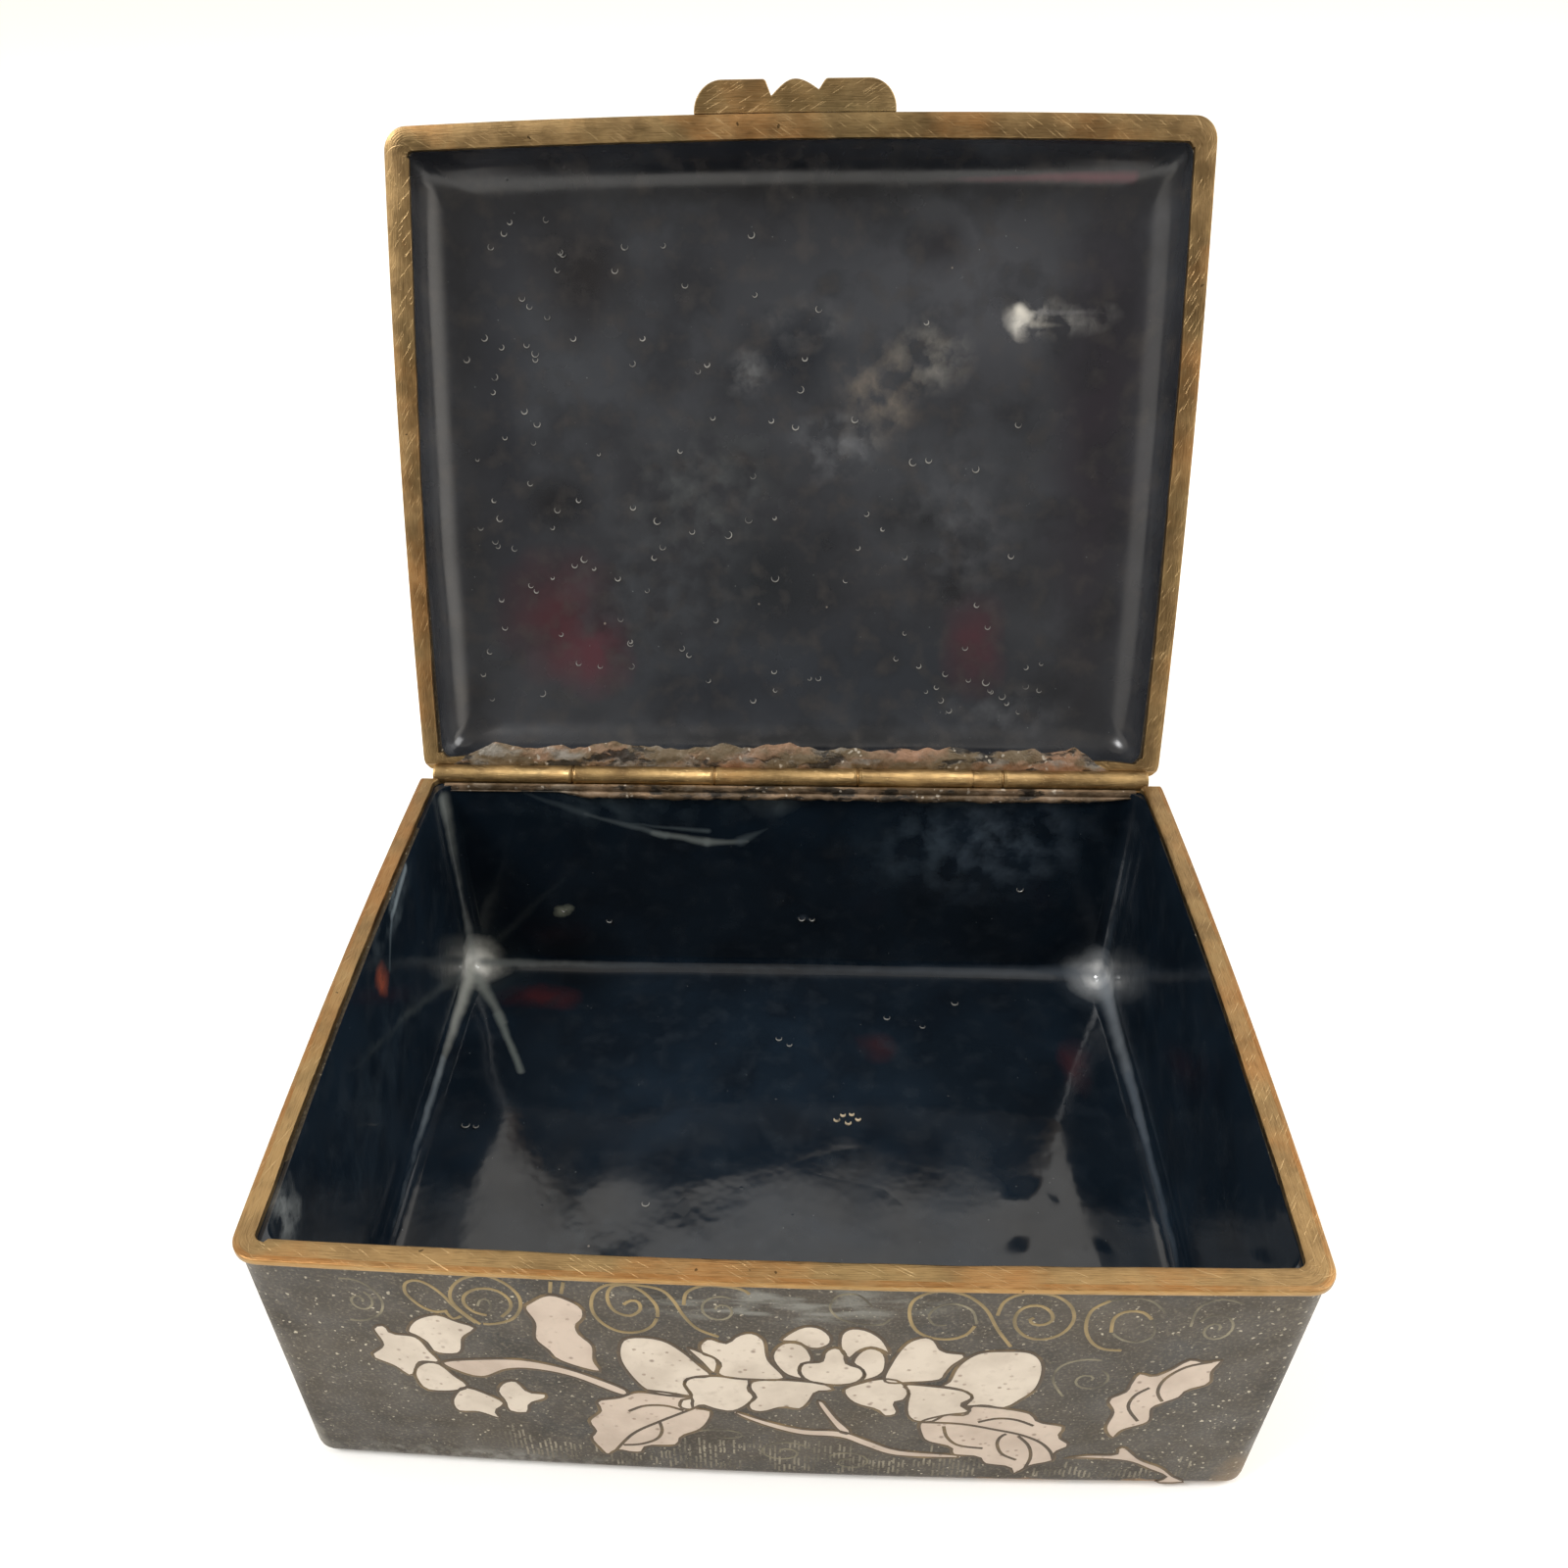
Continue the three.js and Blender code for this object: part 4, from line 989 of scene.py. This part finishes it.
rim_brass = old_brass("filed_brass_rim", "#9A7F57", "#6B5539", "#A07345", along_rim=True)
HINGE_HALF = HALF_WIDTH - 2.0


def tray_rim_extra(x, y):
    """The tray's rim is narrower along its left side."""
    return -0.45 if x < -56 else 0.05


def tray_rim_pared(x, y, inset):
    """In front of the hinge tubes the tray's rim is filed down so far that the whole tube shows."""
    if y > 44 and abs(x) < HINGE_HALF - 1.5 and inset > 1.9:
        return BOX_HEIGHT - RIM_THICKNESS + 0.12
    return None


def lid_rim_extra(x, y):
    """The lid's rim is wide at the hinge and front and gets narrower down its two sides."""
    forward = (HALF_DEPTH - y) / (2 * HALF_DEPTH)
    if y > 44:
        return 0.75 if abs(x) < 54 else 0.3
    if y < -44:
        return 0.45
    return (-0.5 + 1.3 * forward) if x < 0 else (-0.2 + 0.4 * forward)


tray_rim = rim_piece("tray_rim_strip", BOX_HEIGHT - RIM_THICKNESS, tray_rim_extra, False, tray_rim_pared)
cut_hinge_groove(tray_rim, "box")
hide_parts("box_rim")
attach(tray_rim, "box")
lid_rim = rim_piece("lid_rim_strip", LID_RIM_LOW, lid_rim_extra, True)
cut_hinge_groove(lid_rim, "lid")
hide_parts("lid_rim")
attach(lid_rim, "lid")

# Lid: a shallow dish of enamelled copper with a round shoulder and a slightly crowned top.
# Its lining is the same dark glaze, greyer with dust, and blushed maroon where copper came through.
# On it are a painted dark reflection down its right side and painted shade in its fillets along the
# front and hinge edges.
LID_WALL_LOW = LID_RIM_LOW + RIM_THICKNESS + SEAT_GAP
LID_TOP = LID_RIM_LOW + 10.6
SHOULDER = 6.5
TOP_THICKNESS = 2.2
LID_CROWN = 0.8


def crown(x, y):
    """Rise of the lid's top above its shoulder."""
    reach_x = HALF_WIDTH - WALL_INSET - SHOULDER
    reach_y = HALF_DEPTH - WALL_INSET - SHOULDER
    return LID_CROWN * max(1 - abs(x / reach_x) ** 3, 0) * max(1 - abs(y / reach_y) ** 3, 0)


def lid_skin(inset, shoulder, top, corner):
    """Loops of one skin of the lid, from its wall's edge to the middle of its top."""
    half_way = (LID_WALL_LOW + top - shoulder) / 2
    loops = [plan_loop(inset, corner, height) for height in (LID_WALL_LOW, half_way)]
    for sine, cosine in quarter_steps(10):
        turned_in = shoulder * (1 - cosine)
        loops.append(plan_loop(inset + turned_in, max(corner, turned_in), top - shoulder * (1 - sine)))
    for flat in (1.5, 4, 8, 13, 18, 23, 28, 33, 38):
        if inset + shoulder + flat < HALF_DEPTH - 1:
            loop = plan_loop(inset + shoulder + flat, shoulder, 0)
            loops.append([(x, y, top + crown(x, y)) for x, y, _ in loop])
    return loops


lid_outer = worn_enamel("worn_olive_enamel_lid")
lid_inner = lining_glaze("navy_lining_glaze_lid", "#25272C", "#34373C", "#13161C", "#45413E", [
    ((30, -26, 51), (24, 18, 8), "#424449", 0.8),
    ((5, -20, 51), (26, 20, 8), "#3A3D42", 0.7),
    ((8, 32, 51), (40, 14, 8), "#222830", 0.8),
    ((-46, -5, 51), (6, 42, 8), "#1C1F26", 0.7),
    # Painted reflection: a dark purple-black band down the lining's right side
    ((48, -6, 51), (9, 46, 8), "#231F27", 0.95),
    ((-33, -29, 51), (10, 11, 8), "#191719", 0.95),
    ((-38, 22.6, 51), (12, 13, 8), "#3B1A21", 0.9),
    ((-32.6, 29, 51), (8, 8, 8), "#4A242D", 0.9),
    ((-38.3, 4.7, 51), (6.5, 5, 8), "#0B0B0F", 1.0),
    ((30.7, 27, 51), (6, 10, 8), "#41242C", 0.9),
    ((0.2, -18, 51), (12, 8, 8), "#131820", 0.95),
    ((-4, 17, 51), (15, 12, 8), "#11161C", 0.95),
    ((19.5, 7, 51), (8, 6, 8), "#101318", 0.95),
    ((27, 18, 51), (3.5, 3, 8), "#0E0F14", 0.9),
    ((-12, 34, 51), (16, 7, 8), "#1A1F27", 0.8),
    ((22, -33, 51), (6, 5, 8), "#1A1A1F", 0.8),
    # Painted shade: near-black bands in the lining's fillets along the lid's front edge and its hinge edge
    ((2, -42.5, 50), (56, 4.5, 6), "#070A10", 1.0),
    ((2, 42.5, 50), (54, 3.5, 6), "#0A0E14", 1.0),
], [
    ((14, -12, 51), (8, 9, 8), "#7B7165", 0.85),
    ((22, -17.8, 51), (7, 7, 8), "#84817A", 0.8),
    ((-6.6, -15, 51), (5, 4, 8), "#7C7D7E", 0.8),
    ((7, -4, 51), (9, 6, 8), "#74767A", 0.75),
    ((2, -22, 51), (9, 5, 8), "#5E5F61", 0.7),
    ((27, 8, 51), (14, 16, 8), "#505256", 0.7),
    ((42, -22.5, 51), (9, 3.5, 6), "#83827F", 0.95),
    ((35.6, -22.8, 51), (4, 3.6, 6), "#F4F0E6", 1.0),
    ((-15, 2, 51), (18, 14, 8), "#4B4F50", 0.8),
    ((-22, 20, 51), (20, 18, 8), "#3E4348", 0.7),
    ((36, 38, 51), (14, 5, 8), "#56585C", 0.7),
], [
    ((50, -41.8, 50.6), (10, -41.6, 50.6), 1.3, 0.8, "#6A3B44", 0.8),
    ((34.8, -23.9, 51.6), (36.2, -22.8, 51.6), 1.5, 0.2, "#DEDACF", 0.9),
    ((37.0, -22.0, 51.6), (41.4, -21.6, 51.6), 1.1, 0.5, "#A9A69D", 0.8),
    ((38, -23.6, 51.6), (48, -23.4, 51.6), 0.9, 0.6, "#77777A", 0.8),
    ((10.4, -8.6, 51.6), (4, -3, 51.6), 0.7, 0.3, "#9A9A96", 0.8),
    ((4, -3, 51.6), (1, -0.6, 51.6), 0.7, 0.3, "#8C8C88", 0.8),
    ((12, -9, 51.6), (15, -4, 51.6), 0.6, 0.3, "#6B6B6A", 0.7),
    ((-7.5, -16.5, 51.6), (-5, -14, 51.6), 0.9, 0.2, "#A5A5A2", 0.8),
], 0.2)
LINING_SHOULDER = 6.6
LINING_CORNER = 2.4
outer_skin = lid_skin(WALL_INSET, SHOULDER, LID_TOP, WALL_CORNER)
inner_skin = lid_skin(CAVITY_INSET, LINING_SHOULDER, LID_TOP - TOP_THICKNESS, LINING_CORNER)
verts, faces = loft(inner_skin[::-1] + outer_skin)
lid = new_piece("lid_shell", verts, faces, [lid_outer, lid_inner], turned=True)
points_round = len(inner_skin[0])
lining_faces = points_round * (len(inner_skin) - 1)
skin_faces = points_round * (len(inner_skin) + len(outer_skin) - 1)
for polygon in lid.data.polygons:
    middle_of_lining = polygon.index >= skin_faces and polygon.center.z / MM < LID_TOP - 0.5
    polygon.material_index = 1 if polygon.index < lining_faces or middle_of_lining else 0
lining_top = LID_TOP - TOP_THICKNESS
roughen(lid, 0.2, 15, lambda p: LID_WALL_LOW + 0.5 < p.z < lining_top + LID_CROWN + 0.2
        and within(p, CAVITY_INSET - 0.8, CAVITY_INSET - 1.2))
cut_hinge_groove(lid, "lid")
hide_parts("lid_body")
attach(lid, "lid")

# Lid top picture, unseen in the photo: the same peony and leaves with scrolls round them
def on_lid_top(u, v, lift):
    return (u, v, LID_TOP + crown(u, v) + lift)


middle_up = {"shift": (-8.5, -28), "scale": 1.2}
left_spray = {"shift": (-2, -3), "scale": 0.95}
right_spray = {"shift": (2, -3), "scale": 0.95, "mirror": True}
lid_picture = {
    "petals": group(flower, petals, **middle_up) + group(spray, petals, **left_spray)
    + group(spray, petals, **right_spray),
    "leaves": group(flower_leaves, leaves, **middle_up) + group(("stem_left",), leaves, **left_spray)
    + group(("stem_left",), leaves, **right_spray),
    "veins": [moved(line, **middle_up) for line in veins[:9]],
    "scrolls": scroll_row(-50, 50, 34, 3.8, 11) + scroll_row(-50, 50, -34, 3.8, 11),
}
lay_inlay("lid_top", [(on_lid_top, lid_picture)], "lid", turned=True)

# Open bubbles in the glaze: gas broke through as it was fired and left crescent lips, in the lid
# mostly down the left side. A few cream grains stuck to the tray's floor have the same form.
UP, DOWN = Vector((0, 0, 1)), Vector((0, 0, -1))
FORWARD = Vector((0, -1, 0))


def add_bubble(verts, faces, middle, radius, up, low_side, thickness):
    """The lower lip of a burst bubble: a crescent that thins towards its two ends."""
    steps, sides = 14, 6
    side = up.cross(low_side)
    rows = []
    for i in range(steps + 1):
        share = i / steps
        angle = math.pi * (-0.15 + 1.3 * share)
        out = side * math.cos(angle) + low_side * math.sin(angle)
        thin = thickness * (0.15 + 0.85 * math.sin(math.pi * share))
        turns = [2 * math.pi * k / sides for k in range(sides)]
        rows.append([middle + out * (radius + thin * math.cos(turn)) + up * thin * math.sin(turn)
                     for turn in turns])
    add_strip(verts, faces, rows)


def lip_glaze(name, tone):
    """Thin glaze on a bubble's lip: paler than the lining and shiny."""
    material, tree, shader, place = new_surface(name, 0.18, ior=1.52)
    coat(tree, shader, tinted(tree, tone, "#2B2E33", mottle(tree, place, 2, 0.5, 0.75)))
    relief(tree, shader, [(mottle(tree, place, 0.5, 0.3, 0.7), 0.01)])
    return material


bubble_lip = lip_glaze("bubble_lips", "#8C8B87")
grain_lip = lip_glaze("cream_grains", "#C9B89C")
random.seed(11)
bubbles = [(-37.8, 5.5), (-36.5, -30.1), (-5.9, -26.4), (-50, 28.3), (-28.2, 16.3), (25.5, 35.9),
           (33.5, 34.2), (26, 38), (-34.3, 4)]
for _ in range(110):
    bubbles.append((random.triangular(-54, 50, -50), random.uniform(-38, 39)))
for _ in range(14):
    bubbles.append((random.uniform(20, 42), random.uniform(30, 39)))
verts, faces = [], []
for x, y in bubbles:
    base = Vector((x, y, lining_top + crown(x, y) - 0.04))
    lean = random.uniform(-0.9, 0.9)
    low_side = Vector((math.sin(lean), math.cos(lean), 0))
    radius = random.triangular(0.25, 0.62, 0.38)
    add_bubble(verts, faces, base, radius, DOWN, low_side, random.uniform(0.07, 0.12))
lid_bubbles = new_piece("lid_glaze_bubbles", verts, faces, [bubble_lip], turned=True)
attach(lid_bubbles, "lid")
verts, faces = [], []
for x, y in [(-0.6, 27.4), (1.2, 26.0), (-50.4, 6.6), (-48.7, 6.4), (24, 31), (-20, -8), (18, 33),
             (30, 37), (-8, -30), (22, -38), (-36, -20)]:
    base = Vector((x, y, FLOOR_TOP + 0.1))
    add_bubble(verts, faces, base, random.uniform(0.4, 0.65), UP, FORWARD, 0.13)
for x, z in [(-38.9, 15.8), (3.0, 14.7), (4.8, 14.6), (-31, 13.5), (40, 22)]:
    base = Vector((x, HALF_DEPTH - CAVITY_INSET - 0.1, z))
    add_bubble(verts, faces, base, random.uniform(0.4, 0.6), FORWARD, DOWN, 0.13)
tray_bubbles = new_piece("tray_glaze_bubbles", verts, faces, [bubble_lip])
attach(tray_bubbles, "box")
verts, faces = [], []
for x, y in [(9.0, 9.6), (10.0, 10.6), (11.4, 10.8), (12.4, 9.8), (10.8, 9.0)]:
    base = Vector((x, y, FLOOR_TOP + 0.1))
    add_bubble(verts, faces, base, random.uniform(0.3, 0.5), UP, FORWARD, 0.22)
tray_grains = new_piece("tray_glaze_grains", verts, faces, [grain_lip])
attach(tray_grains, "box")

# Thumb tab: a flat brass plate with rounded ends and two notches, soldered edge-on to the lid rim
TAB_HALF = 14.5
TAB_REACH = 4.3
TAB_THICKNESS = 1.0
TAB_END_RADIUS = 4.0
TAB_NOTCH_EDGE = 4.2
TAB_NOTCH_PLACE = 3.4
LEFT_NOTCH_DEPTH = 2.15
RIGHT_NOTCH_DEPTH = 1.4
tab_tip = -(HALF_DEPTH + FRONT_BOW + TAB_REACH)


def tab_root(x):
    """The rim's bowed front edge, on which the tab sits."""
    share = x / (HALF_WIDTH - RIM_CORNER)
    return -(HALF_DEPTH + FRONT_BOW * (1 - share * share)) - 0.02


def tab_end(middle_x, first_degree):
    """A quarter turn round one of the tab's ends."""
    angles = [math.radians(first_degree + 90 * i / 12) for i in range(13)]
    return [(middle_x + TAB_END_RADIUS * math.cos(angle), tab_tip + TAB_END_RADIUS * (1 + math.sin(angle)))
            for angle in angles]


places = [TAB_HALF * (1 - i / 10) for i in range(21)]
outline = [(x, tab_root(x)) for x in places]
outline += tab_end(-TAB_HALF + TAB_END_RADIUS, 180)
outline += [(-TAB_NOTCH_EDGE - 0.3, tab_tip), (-TAB_NOTCH_EDGE, tab_tip + 0.25),
            (-TAB_NOTCH_PLACE, tab_tip + LEFT_NOTCH_DEPTH)]
for i in range(1, 8):
    share = i / 8
    rise = LEFT_NOTCH_DEPTH * (1 - math.sin(share * math.pi / 2))
    outline.append((-TAB_NOTCH_PLACE * (1 - share), tab_tip + rise))
for i in range(8):
    share = i / 8
    rise = RIGHT_NOTCH_DEPTH * (1 - math.cos(share * math.pi / 2))
    outline.append((TAB_NOTCH_PLACE * share, tab_tip + rise))
outline += [(TAB_NOTCH_PLACE, tab_tip + RIGHT_NOTCH_DEPTH), (TAB_NOTCH_EDGE, tab_tip + 0.25),
            (TAB_NOTCH_EDGE + 0.3, tab_tip)]
outline += tab_end(TAB_HALF - TAB_END_RADIUS, 270)
verts, faces = [], []
add_plate(verts, faces, outline, [], lambda u, v: (u, v, LID_RIM_LOW + TAB_THICKNESS),
          lambda u, v: (u, v, LID_RIM_LOW))
tab_brass = old_brass("filed_brass_tab", "#8E7651", "#6A563A", "#8F6B42", green=0.35)
tab = new_piece("thumb_tab_plate", verts, faces, [tab_brass], sharp_degrees=30, turned=True)
softened = tab.modifiers.new("filed edges", "BEVEL")
softened.width = 0.14 * MM
softened.segments = 2
softened.limit_method = "ANGLE"
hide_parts("thumb_tab")
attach(tab, "lid")

# Hinge: five lengths of drawn brass tube on one wire, soldered in turn to the lid and the tray.
# Their tops are rubbed gold, their ends bright, and solder and bare copper show beside them.
PIN_RADIUS = 0.6
BORE = PIN_RADIUS + TURNING_GAP
KNUCKLE_GAP = 0.24
hinge_brass = old_brass("drawn_brass_tube", "#BB9C6B", "#6E583B", "#A67E4E", green=0.3, roughness=0.42)
knuckles = (("lid_knuckle_left", "lid"), ("box_knuckle_left", "box"), ("lid_knuckle_middle", "lid"),
            ("box_knuckle_right", "box"), ("lid_knuckle_right", "lid"))
slim = KNUCKLE_RADIUS - 0.07
tube_end = ((0, BORE), (0, KNUCKLE_RADIUS - 0.25), (0.1, KNUCKLE_RADIUS - 0.04), (0.3, KNUCKLE_RADIUS),
            (0.6, KNUCKLE_RADIUS), (0.75, slim))
for index, (node, body) in enumerate(knuckles):
    middle = (index - 2) * KNUCKLE_PITCH
    half = (KNUCKLE_PITCH - KNUCKLE_GAP) / 2
    profile = [(middle - half + run, radius) for run, radius in tube_end]
    if index == 3:
        ring = middle + half - 4.6
        profile += [(ring - 0.3, slim), (ring - 0.1, slim - 0.14),
                    (ring + 0.1, slim - 0.14), (ring + 0.3, slim)]
    profile += [(middle + half - run, radius) for run, radius in reversed(tube_end)]
    verts, faces = turned_bar(profile, sides=48, closed=True)
    tube = new_piece(f"hinge_tube_{index + 1}", verts, faces, [hinge_brass], sharp_degrees=50)
    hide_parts(node)
    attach(tube, body)
pin_half = 2.5 * KNUCKLE_PITCH - KNUCKLE_GAP / 2
PIN_TIP = 0.35
COLLAR_RADIUS = KNUCKLE_RADIUS - 0.12
collar = ((-0.14, PIN_RADIUS), (-0.13, COLLAR_RADIUS - 0.08), (0, COLLAR_RADIUS),
          (0.13, COLLAR_RADIUS - 0.08), (0.14, PIN_RADIUS))
profile = [(-pin_half, PIN_TIP), (-pin_half + 0.2, PIN_RADIUS)]
for index in range(4):
    gap = (index - 1.5) * KNUCKLE_PITCH
    profile += [(gap + run, radius) for run, radius in collar]
profile += [(pin_half - 0.2, PIN_RADIUS), (pin_half, PIN_TIP)]
verts, faces = turned_bar(profile, sides=32)
pin = new_piece("hinge_wire", verts, faces, [hinge_brass])
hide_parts("hinge_pin")
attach(pin, "box")


# Solder seams: a thin lumpy crust on both rims beside the tubes, left where the solder ran out.
# It is part brown brass, part grey flux and part bare pink copper, dull and pitted, with painted
# near-black shade in the dents between its lumps.
CRUST_STEP = 0.4
CRUST_FADE = 9
LID_CRUST_NEAR = 46.0


def solder_crust(name, base, copper, grey):
    material, tree, shader, place = new_surface(name, 0.5)
    loose = ragged(tree, place, 1.5, 0.8)
    # Gaps between the lumps: dented, and painted near-black as shade
    shaded_gaps = mottle(tree, loose, 2.2, 0.52, 0.6, detail=8, stretch=(0.35, 1, 1))
    flecks = reckon(tree, "MULTIPLY", dots(tree, loose, 1.3, 0.3), mottle(tree, place, 5, 0.45, 0.55))
    coat(tree, shader, layered(tree, base, [
        (copper, mottle(tree, loose, 4, 0.45, 0.62, detail=7, stretch=(0.5, 1, 1)), 1),
        (grey, mottle(tree, loose, 3, 0.54, 0.66, detail=7, stretch=(0.45, 1, 1)), 0.8),
        ("#201E1B", shaded_gaps, 0.9),
        ("#BDB4A5", flecks, 0.75),
    ]))
    metal = reckon(tree, "MULTIPLY", mottle(tree, place, 2, 0.4, 0.7), 0.7)
    tree.links.new(metal, shader.inputs["Metallic"])
    relief(tree, shader, [(shaded_gaps, -0.12), (mottle(tree, place, 0.9, 0.3, 0.7), 0.1)])
    return material


def crust(name, material, left, right, edge_line, turned):
    """Lumpy ridge along the hinge: edge_line gives its section, near side to far side, at a place."""
    stations = int((right - left) / CRUST_STEP)
    rows = []
    for i in range(stations + 1):
        x = left + (right - left) * i / stations
        fade = min(1, (x - left) / CRUST_FADE, (right - x) / CRUST_FADE)
        rows.append([(x, y, z) for y, z in edge_line(x, fade)])
    verts, faces = [], []
    add_strip(verts, faces, rows)
    return new_piece(name, verts, faces, [material], turned=turned)


def lid_seam_line(x, fade):
    """Crust on the lid rim's underside, from close to the tubes to a wandering far edge."""
    proud = 0.05 + 0.4 * fade
    wander = noise.noise(Vector((x / 6, 1.7, 0))) + 0.5 * noise.noise(Vector((x / 1.7, 1.7, 3)))
    far = 45.8 - min(1, fade * 1.6) * (3.3 + 1.2 * wander)
    line = []
    for k in range(9):
        share = k / 8
        y = LID_CRUST_NEAR + (far - LID_CRUST_NEAR) * share
        lump = 0.5 + 0.5 * noise.noise(Vector((x / 1.2, y / 0.9, 1.7)))
        swell = math.sin(math.pi * (0.1 + 0.85 * share)) * (0.4 + lump)
        line.append((y, LID_RIM_LOW + 0.05 - proud * swell))
    return line + [(far + 0.1, LID_RIM_LOW + 0.6), (LID_CRUST_NEAR, LID_RIM_LOW + 0.3)]


def tray_seam_line(x, fade):
    """Dark crust on the edge under the tubes, with a copper lip below it from the left third on."""
    lip = min(max((x + 37) / 4, 0), 1) * fade
    wander = 0.5 * noise.noise(Vector((x / 4, 4.2, 0))) + 0.3 * noise.noise(Vector((x / 1.2, 4.2, 3)))
    back = HALF_DEPTH - RIM_WIDTH + 0.5
    front = HALF_DEPTH - RIM_WIDTH - 0.1
    line = [(back, BOX_HEIGHT - 0.86), (front, BOX_HEIGHT - 0.84 - 0.05 * wander),
            (front - 0.12, BOX_HEIGHT - 1.2), (front - 0.1, BOX_HEIGHT - 1.7)]
    for k in range(7):
        turn = math.pi * k / 6
        radius = 0.12 + lip * (0.5 + 0.35 * wander)
        drop = radius * (1 - math.cos(turn))
        line.append((front - 0.05 - radius * math.sin(turn), BOX_HEIGHT - 1.8 - drop))
    return line + [(back, line[-1][1])]


lid_solder = solder_crust("lid_solder_and_copper", "#685A45", "#94735B", "#86827A")
lid_crust = crust("lid_solder_seam", lid_solder, -55, 52, lid_seam_line, True)
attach(lid_crust, "lid")
tray_solder = solder_crust("tray_solder_and_copper", "#5A4A37", "#8B745C", "#8A7F70")
tray_crust = crust("tray_solder_seam", tray_solder, -56, 56, tray_seam_line, False)
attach(tray_crust, "box")

# Studio: a plain pale floor under one soft lamp, with soft light from the sides and above and a
# dimmer side in front, where the photographer stands
floor_material, tree, shader, place = new_surface("pale_floor", 0.9)
shader.inputs["Base Color"].default_value = linear("#F4F4F2")
shader.inputs["Emission Color"].default_value = linear("#FFFFFF")
shader.inputs["Emission Strength"].default_value = 0.15
FLOOR_HALF = 6000
FLOOR_LEVEL = -0.05
corners = [(x * FLOOR_HALF, y * FLOOR_HALF, FLOOR_LEVEL) for x, y in ((-1, -1), (1, -1), (1, 1), (-1, 1))]
floor = new_piece("studio_floor", corners, [(0, 1, 2, 3)], [floor_material])

world = bpy.data.worlds.new("studio_air")
bpy.context.scene.world = world
world.use_nodes = True
tree = world.node_tree
background = tree.nodes["Background"]
direction = add(tree, "ShaderNodeTexCoord").outputs["Generated"]
parts = add(tree, "ShaderNodeSeparateXYZ", {0: direction}).outputs


def toward(part, near, far):
    """Share of light from one side: 0 up to the first part of the way, 1 from the second on."""
    return add(tree, "ShaderNodeMapRange", {"Value": parts[part], "From Min": near, "From Max": far},
               interpolation_type="SMOOTHSTEP").outputs[0]


above_back = reckon(tree, "MULTIPLY", toward("Y", 0.05, 0.5), toward("Z", 0.05, 0.5))
low_right = reckon(tree, "MULTIPLY", toward("X", 0.55, 0.9), toward("Z", 0.7, 0.3))
low_left = reckon(tree, "MULTIPLY", toward("X", -0.5, -0.8), toward("Z", 0.8, 0.4))
strength = 0.36
for share, gain in ((above_back, 0.85), (toward("Z", 0.55, 0.9), 0.3), (low_right, 2.1), (low_left, 1.0)):
    strength = add(tree, "ShaderNodeMath", {0: share, 1: gain, 2: strength},
                   operation="MULTIPLY_ADD").outputs[0]
tree.links.new(strength, background.inputs["Strength"])
background.inputs["Color"].default_value = linear("#FFF8EE")


def soft_lamp(name, place, aim, size, power):
    """A square soft box that looks at a point, sizes in metres and power in watts."""
    lamp = bpy.data.lights.new(name, "AREA")
    lamp.size = size
    lamp.energy = power
    holder = bpy.data.objects.new(name, lamp)
    bpy.context.scene.collection.objects.link(holder)
    holder.location = place
    holder.rotation_euler = (Vector(aim) - Vector(place)).to_track_quat("-Z", "Y").to_euler()
    return holder


soft_lamp("key_box", (-0.8, -0.35, 1.1), (0, 0, 0.05), 0.4, 11)
soft_lamp("fill_box", (0.9, 0.1, 0.9), (0, 0, 0.05), 0.6, 8)

# Camera: where the photograph was taken from, found from the rims' corners
CAMERA_PLACE = (1.87, -131.36, 163.09)
PITCH, YAW, ROLL = -39.34, -3.69, -1.45
FOCAL_PIXELS = 1340.89
MIDDLE_X, MIDDLE_Y = 744.94, 920.18
FRAME_PIXELS = 1600
SENSOR_WIDTH = 36
camera_data = bpy.data.cameras.new("photo_camera")
camera = bpy.data.objects.new("photo_camera", camera_data)
bpy.context.scene.collection.objects.link(camera)
bpy.context.scene.camera = camera
pitch, yaw, roll = (math.radians(angle) for angle in (PITCH, YAW, ROLL))
ahead = Vector((math.sin(yaw) * math.cos(pitch), math.cos(yaw) * math.cos(pitch), math.sin(pitch)))
right = ahead.cross(Vector((0, 0, 1))).normalized()
up = right.cross(ahead)
right, up = math.cos(roll) * right + math.sin(roll) * up, math.cos(roll) * up - math.sin(roll) * right
turn = Matrix((right, up, -ahead)).transposed().to_4x4()
camera.matrix_world = Matrix.Translation(Vector(CAMERA_PLACE) * MM) @ turn
camera_data.sensor_width = SENSOR_WIDTH
camera_data.sensor_fit = "HORIZONTAL"
camera_data.lens = SENSOR_WIDTH * FOCAL_PIXELS / FRAME_PIXELS
camera_data.shift_x = (FRAME_PIXELS / 2 - MIDDLE_X) / FRAME_PIXELS
camera_data.shift_y = (MIDDLE_Y - FRAME_PIXELS / 2) / FRAME_PIXELS
camera_data.clip_start = 0.01
camera_data.clip_end = 30
bpy.context.scene.view_settings.view_transform = "Standard"
